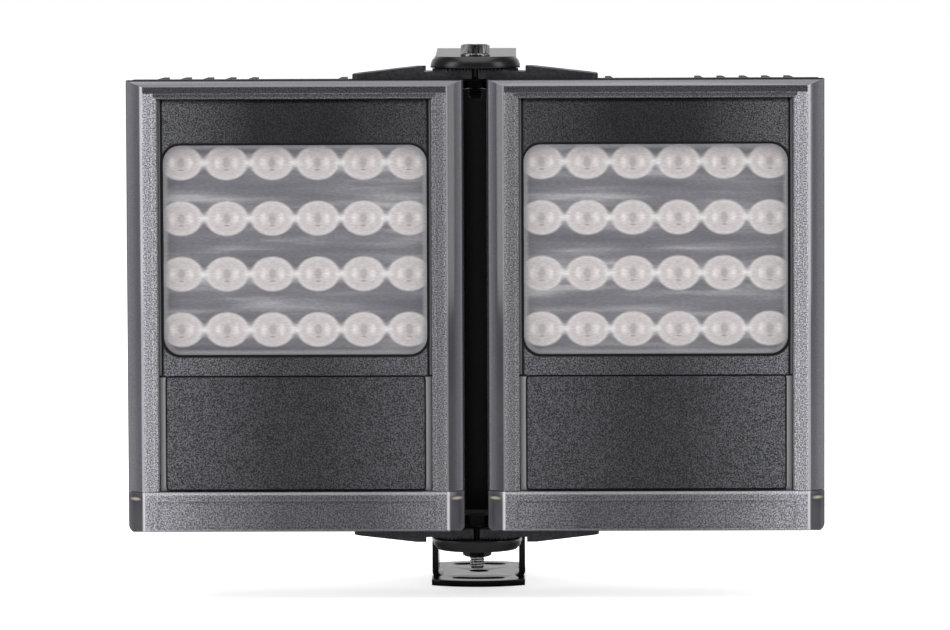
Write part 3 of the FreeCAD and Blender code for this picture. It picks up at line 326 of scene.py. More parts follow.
def smoked_polycarbonate(tree):
    across, height = lamp_place(tree)
    from_middle = add(tree, "ShaderNodeMath", {0: across}, operation="ABSOLUTE")
    first, last = frame_band_light[0][0], frame_band_light[-1][0]
    # On the side towards the hinge the bands lie a little further out
    inner_side = add(tree, "ShaderNodeMath", {0: across, 1: 0.0}, operation="LESS_THAN")
    band_place = add(tree, "ShaderNodeMath", {0: inner_side, 1: 0.6, 2: from_middle}, operation="MULTIPLY_ADD")
    band_share = add(tree, "ShaderNodeMapRange", {"Value": band_place, "From Min": first, "From Max": last})
    band_light = add(tree, "ShaderNodeValToRGB", {"Fac": band_share},
                stops=[((place - first) / (last - first), colour) for place, colour in frame_band_light])
    # The side towards the hinge is painted darker as shade, above all its flat band
    sloping = add(tree, "ShaderNodeMath", {0: from_middle, 1: 60.5}, operation="GREATER_THAN")
    more = add(tree, "ShaderNodeMapRange", {"Value": from_middle, "From Min": 63.4, "From Max": 67.0,
                                            "To Min": 0.07, "To Max": 0.77})
    least = add(tree, "ShaderNodeMath", {0: sloping, 1: more, 2: 0.48}, operation="MULTIPLY_ADD")
    painted_hinge_shade = add(tree, "ShaderNodeMapRange", {"Value": across, "From Min": -20.0, "From Max": 20.0,
                                           "To Min": least, "To Max": 1.0})
    band_light = add(tree, "ShaderNodeVectorMath", {0: band_light, "Scale": painted_hinge_shade}, operation="SCALE")
    depth = frame_strip_light[-1][0]
    below_top = add(tree, "ShaderNodeMath", {0: (panel_top - panel_bottom) / MM, 1: height},
                    operation="SUBTRACT")
    strip_share = add(tree, "ShaderNodeMath", {0: below_top, 1: depth}, operation="DIVIDE", use_clamp=True)
    strip_light = add(tree, "ShaderNodeValToRGB", {"Fac": strip_share},
                 stops=[(place / depth, colour) for place, colour in frame_strip_light])
    # The strips along the top end at a mitre line and where the bands of the sides begin
    edge = add(tree, "ShaderNodeMath", {0: panel_half / MM, 1: from_middle}, operation="SUBTRACT")
    mitre = add(tree, "ShaderNodeMath", {0: below_top, 1: 2.6}, operation="MULTIPLY")
    parts = []
    for limit, lowest in ((None, 2.7), (60.3, 5.2), (56.2, 6.7), (54.9, 7.7)):
        if limit is None:
            within = add(tree, "ShaderNodeMath", {0: edge, 1: mitre}, operation="GREATER_THAN")
        else:
            within = add(tree, "ShaderNodeMath", {0: from_middle, 1: limit}, operation="LESS_THAN")
        above = add(tree, "ShaderNodeMath", {0: below_top, 1: lowest}, operation="LESS_THAN")
        parts.append(add(tree, "ShaderNodeMath", {0: within, 1: above}, operation="MULTIPLY"))
    along_top = parts[0]
    for part in parts[1:]:
        along_top = add(tree, "ShaderNodeMath", {0: along_top, 1: part}, operation="MAXIMUM")
    tone = laid_over(tree, along_top, band_light, strip_light)
    # Frosting on the flat band and strip, drawn coarse to show
    grain = speckle(tree, 0.55, detail=3.0)
    flat = add(tree, "ShaderNodeMath", {0: from_middle, 1: 60.4}, operation="LESS_THAN")
    low_enough = add(tree, "ShaderNodeMath", {0: below_top, 1: 2.7}, operation="GREATER_THAN")
    matt = add(tree, "ShaderNodeMath", {0: flat, 1: low_enough}, operation="MULTIPLY")
    tone = laid_over(tree, matt, grained(tree, tone, grain, 0.9, 1.1), grained(tree, tone, grain, 0.35, 2.0))
    # Behind the bevels the walls are seen edge-on over the black housing, and look dark
    depth_in = add(tree, "ShaderNodeSeparateXYZ", {0: rest_place(tree)}).node.outputs["Y"]
    wall = add(tree, "ShaderNodeMath", {0: depth_in, 1: (frame_front + 5.3) * MM}, operation="GREATER_THAN")
    tone = laid_over(tree, wall, tone, linear("#232226"))
    rough = add(tree, "ShaderNodeMapRange", {"Value": matt, "To Min": 0.1, "To Max": 0.42})
    # The upper rim is sawn and dull, and reads as a dark line against the bevel
    shine = add(tree, "ShaderNodeMapRange", {"Value": below_top, "From Min": 0.4, "From Max": 0.8,
                                             "To Min": 0.0, "To Max": 0.4})
    relief = add(tree, "ShaderNodeBump", {"Height": grain, "Strength": matt, "Distance": 0.1 * MM})
    return add(tree, "ShaderNodeBsdfPrincipled",
               {"Base Color": tone, "Roughness": rough, "IOR": 1.585, "Normal": relief,
                "Specular IOR Level": shine, "Transmission Weight": 0.06})


# Bottom bar, the same smoked polycarbonate with a fine satin face: grey, lighter towards
# the outer side of the lamp, with polished dark ends that carry a painted highlight along
# their inner edge and a painted glint where each screw shows through
def satin_polycarbonate(tree):
    across, height = lamp_place(tree)
    side_share = add(tree, "ShaderNodeMapRange", {"Value": across, "From Min": -60.0, "From Max": 60.0})
    face = add(tree, "ShaderNodeValToRGB", {"Fac": side_share},
               stops=[(0.0, "#7b7a7f"), (0.25, "#525156"), (0.55, "#555459"), (0.8, "#757479"), (1.0, "#a09fa5")])
    from_middle = add(tree, "ShaderNodeMath", {0: across}, operation="ABSOLUTE")
    end_share = add(tree, "ShaderNodeMapRange", {"Value": from_middle, "From Min": 60.2, "From Max": 67.4})
    # Painted highlight: a bright line along the inner edge of each polished end
    ends = add(tree, "ShaderNodeValToRGB", {"Fac": end_share},
               stops=[(0.0, "#b2b1b6"), (0.1, "#dcdbe0"), (0.2, "#4b4a4f"), (0.7, "#454449"),
                      (0.93, "#5a595e"), (1.0, "#2e2d31")])
    past_face = add(tree, "ShaderNodeMath", {0: from_middle, 1: 60.2}, operation="GREATER_THAN")
    grain = speckle(tree, 0.62, detail=3.0)
    tone = laid_over(tree, past_face, grained(tree, face, grain, 0.35, 1.75), ends)
    # Upper and lower rims of the face are painted paler, as highlights along their edges, round the plain inset
    rim_share = add(tree, "ShaderNodeMapRange", {"Value": height, "From Min": 0.0, "From Max": 16.4})
    painted_rim_light = add(tree, "ShaderNodeValToRGB", {"Fac": rim_share},
              stops=[(0.0, "#2a292d"), (0.07, "#6a696e"), (0.11, "#000000"), (0.78, "#000000"), (0.8, "#3a393e"),
                     (0.84, "#000000"), (0.92, "#2a292e"), (0.96, "#9f9ea3"), (1.0, "#7a797e")])
    shine = add(tree, "ShaderNodeMath", {0: past_face, 1: -0.7, 2: 0.75}, operation="MULTIPLY_ADD")
    tone = add(tree, "ShaderNodeMix", {0: shine, 6: tone, 7: painted_rim_light}, data_type="RGBA",
               blend_type="ADD").node.outputs[2]
    # Painted highlight: a glint where a bar screw shows through the polished end
    side = add(tree, "ShaderNodeMath", {0: from_middle, 1: -64.4}, operation="ADD")
    rise = add(tree, "ShaderNodeMath", {0: height, 1: 3.2, 2: -13.7 * 3.2}, operation="MULTIPLY_ADD")
    spot = add(tree, "ShaderNodeCombineXYZ", {"X": side, "Z": rise})
    spot_reach = add(tree, "ShaderNodeVectorMath", {0: spot}, operation="LENGTH").node.outputs["Value"]
    painted_screw_glint = add(tree, "ShaderNodeMapRange", {"Value": spot_reach, "From Min": 2.6, "From Max": 0.8})
    tone = laid_over(tree, painted_screw_glint, tone, linear("#b3aa98"))
    depth_in = add(tree, "ShaderNodeSeparateXYZ", {0: rest_place(tree)}).node.outputs["Y"]
    wall = add(tree, "ShaderNodeMath", {0: depth_in, 1: (frame_front + 5.3) * MM}, operation="GREATER_THAN")
    tone = laid_over(tree, wall, tone, linear("#232226"))
    relief = add(tree, "ShaderNodeBump", {"Height": grain, "Strength": 0.3, "Distance": 0.06 * MM})
    rough = add(tree, "ShaderNodeMapRange", {"Value": past_face, "To Min": 0.34, "To Max": 0.12})
    return add(tree, "ShaderNodeBsdfPrincipled",
               {"Base Color": tone, "Roughness": rough, "IOR": 1.585, "Normal": relief,
                "Specular IOR Level": 0.4, "Transmission Weight": 0.04})


# Diffuser, an acrylic sheet with upright ribs too fine to see, which smear each
# optic sideways. The smeared optics are painted on it with painted light: round milky
# discs with painted highlights, joined by bright bridges, on a streaky grey ground
optic_radius = 7.1
optic_smear = 1.12
outline_smear = 1.25
bridge_reach = 3.5
optic_middle = 114.7


def stretched(tree, across, wide, height, tall):
    """Length of a place whose two directions are shrunk by wide and by tall."""
    across_share = add(tree, "ShaderNodeMath", {0: across, 1: wide}, operation="DIVIDE")
    height_share = add(tree, "ShaderNodeMath", {0: height, 1: tall}, operation="DIVIDE")
    place = add(tree, "ShaderNodeCombineXYZ", {"X": across_share, "Z": height_share})
    return add(tree, "ShaderNodeVectorMath", {0: place}, operation="LENGTH").node.outputs["Value"]


def faded(tree, distance, outer, inner, most=1.0):
    """One inside the inner distance, nothing outside the outer one."""
    return add(tree, "ShaderNodeMapRange",
               {"Value": distance, "From Min": outer, "From Max": inner, "To Max": most},
               interpolation_type="SMOOTHSTEP")


def repeated(tree, value, pitch):
    """Signed distance to the nearest of a row of places a pitch apart, half a pitch off zero."""
    share = add(tree, "ShaderNodeMath",
                {0: add(tree, "ShaderNodeMath", {0: value, 1: pitch}, operation="DIVIDE")}, operation="FRACT")
    return add(tree, "ShaderNodeMath", {0: share, 1: pitch, 2: -pitch / 2}, operation="MULTIPLY_ADD")


def ribbed_diffuser(tree):
    across, height = lamp_place(tree)
    rise = add(tree, "ShaderNodeMath", {0: height, 1: optic_middle}, operation="SUBTRACT")
    pitch = led_pitch_x / MM
    local_x = repeated(tree, across, pitch)
    local_z = repeated(tree, rise, led_pitch_z / MM)
    aside = add(tree, "ShaderNodeMath", {0: local_x}, operation="ABSOLUTE")
    beyond = add(tree, "ShaderNodeMath", {0: aside, 1: pitch}, operation="SUBTRACT")
    own = stretched(tree, aside, optic_smear, local_z, 1.0)
    # The outline is smeared further than the face, so that neighbours meet in a bow tie
    this_one = stretched(tree, aside, outline_smear, local_z, 1.0)
    next_one = stretched(tree, beyond, outline_smear, local_z, 1.0)
    disc = add(tree, "ShaderNodeMath", {0: this_one, 1: next_one, 2: bridge_reach}, operation="SMOOTH_MIN")
    disc_mask = faded(tree, disc, optic_radius + 0.3, optic_radius - 0.8)
    streaks = speckle(tree, 5.5, stretch=(0.1, 1.0, 1.0), detail=3.0)
    ground = add(tree, "ShaderNodeValToRGB", {"Fac": streaks},
                 stops=[(0.3, "#74737a"), (0.5, "#848389"), (0.6, "#97969b"), (0.7, "#b4b3b7")])
    # Inside a disc: a dull upright middle, a painted highlight as a bright spot on each side of it, a paler rim
    face = add(tree, "ShaderNodeValToRGB", {"Fac": add(tree, "ShaderNodeMath", {0: own, 1: 8.0},
                                                       operation="DIVIDE")},
               stops=[(0.0, "#d2cbcb"), (0.5, "#d3cccc"), (0.7, "#d6cfcf"), (0.84, "#ddd7d7"), (1.0, "#cbc6c7")])
    spot = add(tree, "ShaderNodeMath", {0: aside, 1: 3.7}, operation="SUBTRACT")
    painted_disc_light = laid_over(tree, faded(tree, stretched(tree, spot, 1.0, local_z, 1.6), 2.3, 0.0, 0.85), face,
                    linear("#f1edec"))
    ring = add(tree, "ShaderNodeMath", {0: own, 1: 4.6}, operation="SUBTRACT")
    ring_mask = faded(tree, add(tree, "ShaderNodeMath", {0: ring}, operation="ABSOLUTE"), 0.8, 0.1, 0.1)
    painted_disc_light = laid_over(tree, ring_mask, painted_disc_light, linear("#aca6a8"))
    middle = faded(tree, stretched(tree, aside, 0.8, local_z, 1.3), 2.3, 1.0, 0.85)
    painted_disc_light = laid_over(tree, middle, painted_disc_light, linear("#b7b1b2"))
    under = add(tree, "ShaderNodeMath", {0: local_z, 1: 2.9}, operation="ADD")
    dash = faded(tree, stretched(tree, aside, 1.3, under, 0.4), 1.2, 0.5, 0.5)
    painted_disc_light = laid_over(tree, dash, painted_disc_light, linear("#7f7a7c"))
    painted = laid_over(tree, disc_mask, ground, painted_disc_light)
    # Painted light: a bright bridge between neighbouring discs
    between = add(tree, "ShaderNodeMath", {0: aside, 1: pitch / 2}, operation="SUBTRACT")
    painted = laid_over(tree, faded(tree, stretched(tree, between, 1.7, local_z, 1.2), 1.9, 0.0, 0.7), painted,
                        linear("#fdfbfa"))
    # The cut edges of the sheet are painted with a glow of light inside the rim of the window
    half, low, high, corner = window_outline
    from_rim = rounded_distance(tree, across, height, half, low, high, corner)
    painted_rim_light = add(tree, "ShaderNodeMapRange", {"Value": from_rim, "From Min": -2.2, "From Max": -0.9, "To Max": 0.75})
    painted = laid_over(tree, painted_rim_light, painted, linear("#bdbcc1"))
    ribs = speckle(tree, 0.6, stretch=(0.3, 1.0, 1.0), detail=1.0)
    painted = grained(tree, painted, ribs, 0.93, 1.07)
    sheet = add(tree, "ShaderNodeBsdfPrincipled",
                {"Base Color": painted, "Roughness": 0.35, "IOR": 1.49, "Specular IOR Level": 0.3})
    see_through = add(tree, "ShaderNodeBsdfTransparent")
    return add(tree, "ShaderNodeMixShader", {0: 0.16, 1: sheet, 2: see_through})


# Clear acrylic cover: nearly invisible, with a clean reflection
def clear_acrylic(tree):
    dust = speckle(tree, 4.0)
    rough = add(tree, "ShaderNodeMapRange", {"Value": dust, "To Min": 0.03, "To Max": 0.1})
    gloss = add(tree, "ShaderNodeBsdfPrincipled",
                {"Base Color": linear("#dddde0"), "Roughness": rough, "IOR": 1.49})
    see_through = add(tree, "ShaderNodeBsdfTransparent", {"Color": linear("#f4f4f6")})
    return add(tree, "ShaderNodeMixShader", {0: 0.93, 1: gloss, 2: see_through})


# Collimating optic, moulded acrylic that looks milky and faintly pink over the
# infrared chip, with a polished front
def milky_acrylic(tree):
    return add(tree, "ShaderNodeBsdfPrincipled",
               {"Base Color": blotched(tree, 5.0, "#d6cfcf", "#e2dcdb"), "Roughness": 0.16, "IOR": 1.49,
                "Subsurface Weight": 0.2, "Subsurface Radius": (0.002, 0.0015, 0.0015),
                "Subsurface Scale": 1.0})


# Infrared chip under a moulded dome, dark amber
def emitter_dome(tree):
    return add(tree, "ShaderNodeBsdfPrincipled",
               {"Base Color": blotched(tree, 0.8, "#574a3a", "#6c5b45"), "Roughness": 0.15, "IOR": 1.5})


# Aluminium-backed board with satin solder mask, and faint lighter tracks
def solder_mask(dark, light):
    def finish(tree):
        tracks = add(tree, "ShaderNodeTexBrick",
                     {"Vector": rest_place(tree), "Scale": 1 / (9 * MM), "Mortar Size": 0.06})
        tone = add(tree, "ShaderNodeValToRGB",
                   {"Fac": add(tree, "ShaderNodeSeparateColor", {0: tracks})},
                   stops=[(0.1, dark), (0.9, light)])
        return add(tree, "ShaderNodeBsdfPrincipled", {"Base Color": tone, "Roughness": 0.35, "IOR": 1.5})
    return finish


# Moulded silicone rubber: dead matt black
def silicone_rubber(tree):
    return add(tree, "ShaderNodeBsdfPrincipled",
               {"Base Color": blotched(tree, 1.8, "#161616", "#1f1f1f"), "Roughness": 0.75, "IOR": 1.43})


finishes = {
    "painted_casting": material("powder_coat_black", powder_coat),
    "black_steel": material("cast_arm_paint", cast_arm_paint),
    "bracket_sheet": material("stove_enamel_black", stove_enamel),
    "stainless": material("stainless_steel", stainless_steel),
    "black_zinc": material("black_zinc", black_zinc),
    "nylon": material("nylon_washer", nylon),
    "smoked_polycarbonate": material("smoked_polycarbonate", smoked_polycarbonate),
    "bar_polycarbonate": material("satin_polycarbonate", satin_polycarbonate),
    "bezel_plastic": material("spark_grained_abs", spark_grained_abs),
    "clear_cover": material("clear_acrylic", clear_acrylic),
    "diffuser_sheet": material("ribbed_diffuser", ribbed_diffuser),
    "rubber": material("silicone_rubber", silicone_rubber),
    "board": material("solder_mask_grey", solder_mask("#3f4043", "#55565a")),
    "driver": material("solder_mask_green", solder_mask("#173d24", "#2c5c39")),
    "emitter": material("emitter_dome", emitter_dome),
    "optic": material("milky_acrylic", milky_acrylic),
    "gland_plastic": material("moulded_nylon", moulded_nylon),
    "vent_plastic": material("moulded_nylon_vent", moulded_nylon),
}


def dress_frame():
    """Gives each piece of the frame its finish by the slot that the record names."""
    for entry in frame["record"]["subparts"]:
        mesh = nodes[entry["node"]].data
        mesh.materials.clear()
        mesh.materials.append(finishes[entry["material_slot"]])


def body_of(node):
    """The body that a node of the frame rides on."""
    for body, members in frame["record"]["behaviour"]["bodies"].items():
        if node in members:
            return body
    return None


def slot_of(node):
    for entry in frame["record"]["subparts"]:
        if entry["node"] == node:
            return entry["material_slot"]
    return None


def place_piece(name, mesh, node, finish=None):
    """A finished mesh that stands for a node of the frame and moves with its body."""
    piece = bpy.data.objects.new(name, mesh)
    bpy.context.scene.collection.objects.link(piece)
    mesh.materials.clear()
    mesh.materials.append(finish or finishes[slot_of(node)])
    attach(piece, body_of(node))
    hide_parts(node)
    return piece


def softened(node, width, segments=2, cutters=(), finish=None, thinned=True):
    """The node's own form with its sharp edges rounded over, as moulding and paint leave them."""
    source = bmesh.new()
    source.from_mesh(nodes[node].data)
    bmesh.ops.remove_doubles(source, verts=source.verts, dist=0.002 * MM)
    if thinned:
        bmesh.ops.dissolve_limit(source, angle_limit=math.radians(0.6), verts=source.verts, edges=source.edges)
    mesh = bpy.data.meshes.new(node + "_soft")
    source.to_mesh(mesh)
    source.free()
    rough = bpy.data.objects.new(node + "_rough", mesh)
    bpy.context.scene.collection.objects.link(rough)
    for cutter in cutters:
        carve = rough.modifiers.new("carve", "BOOLEAN")
        carve.operation = "DIFFERENCE"
        carve.object = cutter
    edge = rough.modifiers.new("edge", "BEVEL")
    edge.width = width * MM
    edge.segments = segments
    edge.limit_method = "ANGLE"
    edge.angle_limit = math.radians(32)
    edge.use_clamp_overlap = True
    rough.modifiers.new("flats", "TRIANGULATE")
    depsgraph = bpy.context.evaluated_depsgraph_get()
    finished = bpy.data.meshes.new_from_object(rough.evaluated_get(depsgraph))
    bpy.data.objects.remove(rough)
    for cutter in cutters:
        bpy.data.objects.remove(cutter)
    for face in finished.polygons:
        face.use_smooth = True
    finished.set_sharp_from_angle(angle=math.radians(16))
    return place_piece(node + "_body", finished, node, finish)


def skinned(name, rings, ends="capped"):
    """Skins a stack of rings, each a list of points: capped at both ends, or closed on itself."""
    mesh = bmesh.new()
    rows = [[mesh.verts.new(point) for point in ring] for ring in rings]
    pairs = list(zip(rows, rows[1:]))
    if ends == "closed":
        pairs.append((rows[-1], rows[0]))
    for low, high in pairs:
        for number in range(len(low)):
            after = (number + 1) % len(low)
            mesh.faces.new((low[number], low[after], high[after], high[number]))
    if ends == "capped":
        mesh.faces.new(list(reversed(rows[0])))
        mesh.faces.new(rows[-1])
    bmesh.ops.recalc_face_normals(mesh, faces=mesh.faces)
    made = bpy.data.meshes.new(name)
    mesh.to_mesh(made)
    mesh.free()
    for face in made.polygons:
        face.use_smooth = True
    return made


def joined_mesh(name, parts):
    """One mesh of several, each moved by its matrix."""
    whole = bmesh.new()
    for part, matrix in parts:
        start = len(whole.verts)
        whole.from_mesh(part)
        whole.verts.ensure_lookup_table()
        bmesh.ops.transform(whole, matrix=matrix, verts=whole.verts[start:])
    bmesh.ops.recalc_face_normals(whole, faces=whole.faces)
    made = bpy.data.meshes.new(name)
    whole.to_mesh(made)
    whole.free()
    made.set_sharp_from_angle(angle=math.radians(28))
    return made


def circle(radius, z, count=48, turn=0.0):
    angles = [2 * math.pi * step / count + turn for step in range(count)]
    return [Vector((radius * math.cos(a), radius * math.sin(a), z)) for a in angles]


def hexagon_reach(flats, angle):
    """Distance from the middle of a hexagon to its outline; a corner lies at angle nought."""
    sixth = math.pi / 3
    return flats / 2 / math.cos(angle % sixth - sixth / 2)


def hex_ring(flats, z, count=48, most=None, drop=0.0):
    """A hexagonal ring whose corners are cut down by a cone, as on a turned bolt head."""
    points = []
    for step in range(count):
        angle = 2 * math.pi * step / count
        reach = hexagon_reach(flats, angle)
        height = z - max(0.0, reach - most) * drop if most else z
        points.append(Vector((reach * math.cos(angle), reach * math.sin(angle), height)))
    return points


corner_slope = math.tan(math.radians(30))


def hex_head(flats, height):
    """Bolt head with a chamfered top and a shallow dish, standing on z = 0."""
    face = flats * 0.475
    rings = [circle(face * 0.98, 0.0), hex_ring(flats, 0.12 * MM),
             hex_ring(flats, height, most=face, drop=corner_slope), circle(face, height),
             circle(face * 0.82, height), circle(face * 0.78, height - 0.15 * MM),
             circle(0.3 * MM, height - 0.15 * MM)]
    return skinned("hex_head", rings)


def hex_nut(flats, height, bore):
    """Nut with both faces chamfered and a bore, standing on z = 0."""
    face = flats * 0.475
    upper = hex_ring(flats, height, most=face, drop=corner_slope)
    lower = [Vector((point.x, point.y, height - point.z)) for point in upper]
    rings = [circle(bore * 1.12, 0.0), circle(face, 0.0), lower, upper, circle(face, height),
             circle(bore * 1.12, height), circle(bore, height - 0.3 * MM), circle(bore, 0.3 * MM)]
    return skinned("hex_nut", rings, "closed")


def threaded_rod(radius, pitch, depth, length, around=32, per_turn=8):
    """Screw shank from z = 0 down to z = -length, with a true helical ridge."""
    rings = []
    steps = int(round(length / pitch * per_turn))
    for step in range(steps + 1):
        down = length * step / steps
        ring = []
        for turn in range(around):
            angle = 2 * math.pi * turn / around
            flank = abs((down / pitch + turn / around) % 1.0 - 0.5) * 2
            # Narrow flat crests catch the light, as on a rolled thread
            ridge = min(1.0, max(0.0, 1.5 * flank - 0.35))
            taper = max(0.0, 1.0 - (length - down) / (1.2 * pitch))
            reach = min(radius - depth * ridge, radius - 1.3 * depth * taper)
            ring.append(Vector((reach * math.cos(angle), reach * math.sin(angle), -down)))
        rings.append(ring)
    return skinned("threaded_rod", rings)


def washer_ring(outer, bore, thickness, edge=0.18 * MM):
    """Flat washer with rolled edges, standing on z = 0."""
    profile = [(bore, edge), (bore + edge, 0.0), (outer - edge, 0.0), (outer, edge),
               (outer, thickness - edge), (outer - edge, thickness), (bore + edge, thickness),
               (bore, thickness - edge)]
    return skinned("washer_ring", [circle(radius, z) for radius, z in profile], "closed")


def turned(name, profile, count=48, ends="capped"):
    """A turned piece: profile is a list of radius and height in millimetres, from the lower end up."""
    return skinned(name, [circle(radius * MM, z * MM, count) for radius, z in profile], ends)


def socket_screw(head_radius, head_height, shank_radius, length):
    """Low button screw with a hexagon socket; its head stands on z = 0, its shank hangs below."""
    flats = head_radius * 0.9
    profile = [(shank_radius * 0.8, -length), (shank_radius, 0.4 - length), (shank_radius, 0.0),
               (head_radius, 0.0), (head_radius, head_height * 0.35), (head_radius * 0.86, head_height * 0.8),
               (head_radius * 0.66, head_height)]
    rings = [circle(radius * MM, z * MM) for radius, z in profile]
    rings += [hex_ring(flats * MM, head_height * MM), hex_ring(flats * MM, head_height * 0.3 * MM),
              circle(0.1 * MM, head_height * 0.25 * MM)]
    return skinned("socket_screw", rings)


def standing(x, y, z, way="up"):
    """Matrix that stands a piece on a place in millimetres, its own Z along the way named."""
    turns = {"up": Matrix.Identity(4), "down": Matrix.Rotation(math.pi, 4, "X"),
             "back": Matrix.Rotation(-math.pi / 2, 4, "X"), "front": Matrix.Rotation(math.pi / 2, 4, "X"),
             "right": Matrix.Rotation(math.pi / 2, 4, "Y"), "left": Matrix.Rotation(-math.pi / 2, 4, "Y")}
    return Matrix.Translation(Vector((x, y, z)) * MM) @ turns[way]


def dress_pivot_hardware():
    """M6 bolts, nuts and washers of the hinge, with real threads and chamfers."""
    flats = 10.0 * MM
    low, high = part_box("pivot_bolts")
    washer_low, washer_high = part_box("pivot_washer")
    nut_low, nut_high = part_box("pivot_nuts")
    nut_height = 3.2 * MM
    head_height = high.z - washer_high.z
    thrust_low, thrust_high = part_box("thrust_washers")
    lower_seat = thrust_low.z + (washer_high.z - washer_low.z)
    length = lower_seat - low.z
    head = hex_head(flats, head_height)
    rod = threaded_rod(3.0 * MM, 1.0 * MM, 0.5 * MM, length)
    parts = []
    for seat in (washer_high.z, lower_seat):
        place = standing(0.0, hinge_y, seat / MM)
        parts += [(head, place), (rod, place)]
    # Bolts and thrust washers take painted shade where they lie in the gap of the spine
    gap_shaded_steel = material("hinge_bolt_steel", hinge_bolt_steel)
    place_piece("hinge_bolts", joined_mesh("hinge_bolts", parts), "pivot_bolts", gap_shaded_steel)
    nut = hex_nut(flats, nut_height, 3.0 * MM)
    nuts = [(nut, standing(0.0, hinge_y, nut_low.z / MM)),
            (nut, standing(0.0, hinge_y, (nut_high.z - nut_height) / MM))]
    place_piece("hinge_nuts", joined_mesh("hinge_nuts", nuts), "pivot_nuts")
    thickness = washer_high.z - washer_low.z
    ring = washer_ring((washer_high.x - washer_low.x) / 2, 3.2 * MM, thickness)
    place_piece("hinge_washer", joined_mesh("hinge_washer", [(ring, standing(0.0, hinge_y, washer_low.z / MM))]),
                "pivot_washer")
    wide = washer_ring((thrust_high.x - thrust_low.x) / 2, 3.2 * MM, thickness)
    rings = [(wide, standing(0.0, hinge_y, thrust_low.z / MM)),
             (wide, standing(0.0, hinge_y, (thrust_high.z - thickness) / MM))]
    place_piece("hinge_thrust_washers", joined_mesh("hinge_thrust_washers", rings), "thrust_washers",
                gap_shaded_steel)


def dress_tilt_hardware():
    """The two tilt bolts with their washers, through the legs of the bracket."""
    low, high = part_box("tilt_bolts")
    washer_low, washer_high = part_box("tilt_washers")
    friction_low, friction_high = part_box("friction_washers")
    head = hex_head(10.0 * MM, high.x - washer_high.x)
    rod = threaded_rod(3.0 * MM, 1.0 * MM, 0.5 * MM, 16.0 * MM)
    washer_thickness = 1.0 * MM
    ring = washer_ring((washer_high.y - washer_low.y) / 2, 3.2 * MM, washer_thickness)
    friction_thickness = friction_high.x - 15.25 * MM
    pad = washer_ring((friction_high.y - friction_low.y) / 2, 3.2 * MM, friction_thickness)
    bolts, rings, pads = [], [], []
    for side in (1, -1):
        outward = Matrix.Rotation(math.radians(90 * side), 4, "Y")
        seat = Matrix.Translation((side * washer_high.x, 0, pivot_height)) @ outward
        bolts += [(head, seat), (rod, seat)]
        rings.append((ring, Matrix.Translation((side * (washer_high.x - washer_thickness), 0, pivot_height))
                      @ outward))
        pads.append((pad, Matrix.Translation((side * (friction_high.x - friction_thickness), 0, pivot_height))
                     @ outward))
    place_piece("tilt_hex_bolts", joined_mesh("tilt_hex_bolts", bolts), "tilt_bolts")
    place_piece("tilt_flat_washers", joined_mesh("tilt_flat_washers", rings), "tilt_washers")
    place_piece("tilt_friction_pads", joined_mesh("tilt_friction_pads", pads), "friction_washers")


def lens_cup():
    """One collimating optic: a flared cup with a domed front and a sunk middle, front at z = 0."""
    profile = [(3.0, -9.9), (4.3, -9.9), (5.6, -6.8), (6.6, -3.4), (7.05, -1.2), (7.1, -0.7), (6.9, -0.35),
               (6.3, -0.1), (5.2, 0.0), (3.9, -0.05), (2.9, -0.3), (2.35, -0.9), (2.1, -1.8), (1.2, -2.3),
               (0.3, -2.4)]
    return turned("lens_cup", profile, 40)


def dress_optics():
    """The array of optics behind each window."""
    cup = lens_cup()
    for side in SIDES:
        node = side + "_optics"
        low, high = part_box(node)
        centre = (low + high) / 2
        parts = []
        for row in range(led_rows):
            for column in range(led_columns):
                x = centre.x + (column - (led_columns - 1) / 2) * led_pitch_x
                z = centre.z + (row - (led_rows - 1) / 2) * led_pitch_z
                facing = Matrix.Rotation(math.radians(90), 4, "X")
                parts.append((cup, Matrix.Translation((x, low.y, z)) @ facing))
        place_piece(node + "_array", joined_mesh(node + "_array", parts), node)


# Small pieces of each lamp, in millimetres
screw_line = 64.4
frame_screw_rises = (34.0, 146.0)
arm_screw_places = (32.0, 43.2)
shoulder_y = -63.0
gland_rise = 37.0
vent_rise = 163.0


def dress_lamp_screws():
    """Button screws of the frame, of the arms and of the bar."""
    middle, low = lamp_x / MM, panel_bottom / MM
    frame_screw = socket_screw(2.15, 2.1, 1.2, 16.5)
    bar_screw = socket_screw(2.05, 1.35, 1.2, 8.0)
    arm_screw = socket_screw(4.1, 1.15, 2.3, 7.0)
    for side, sign in (("right", 1), ("left", -1)):
        parts = [(frame_screw, standing(sign * (middle + across * screw_line), shoulder_y - 2.2, low + rise, "back"))
                 for across in (-1, 1) for rise in frame_screw_rises]
        place_piece(side + "_frame_button_screws", joined_mesh("frame_button_screws", parts), side + "_frame_screws")
        box_low, box_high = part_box(side + "_bar_screws")
        place = (box_low + box_high) / 2 / MM
        parts = [(bar_screw, standing(box_high.x / MM - 1.4, place.y, place.z, "right")),
                 (bar_screw, standing(box_low.x / MM + 1.4, place.y, place.z, "left"))]
        place_piece(side + "_bar_button_screws", joined_mesh("bar_button_screws", parts), side + "_bar_screws")
        box_low, box_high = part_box(side + "_arm_screws")
        parts = []
        for x in arm_screw_places:
            # Each head sits just under the sloping face of its arm
            sunk = (x - arm_screw_places[0]) * arm_slope
            parts += [(arm_screw, standing(sign * x, hinge_y, box_high.z / MM - 1.2 - sunk, "up")),
                      (arm_screw, standing(sign * x, hinge_y, box_low.z / MM + 1.2 + sunk, "down"))]
        place_piece(side + "_arm_button_screws", joined_mesh("arm_button_screws", parts), side + "_arm_screws")


arm_slope = (4.9 - 2.0) / (49.2 - 24.0)


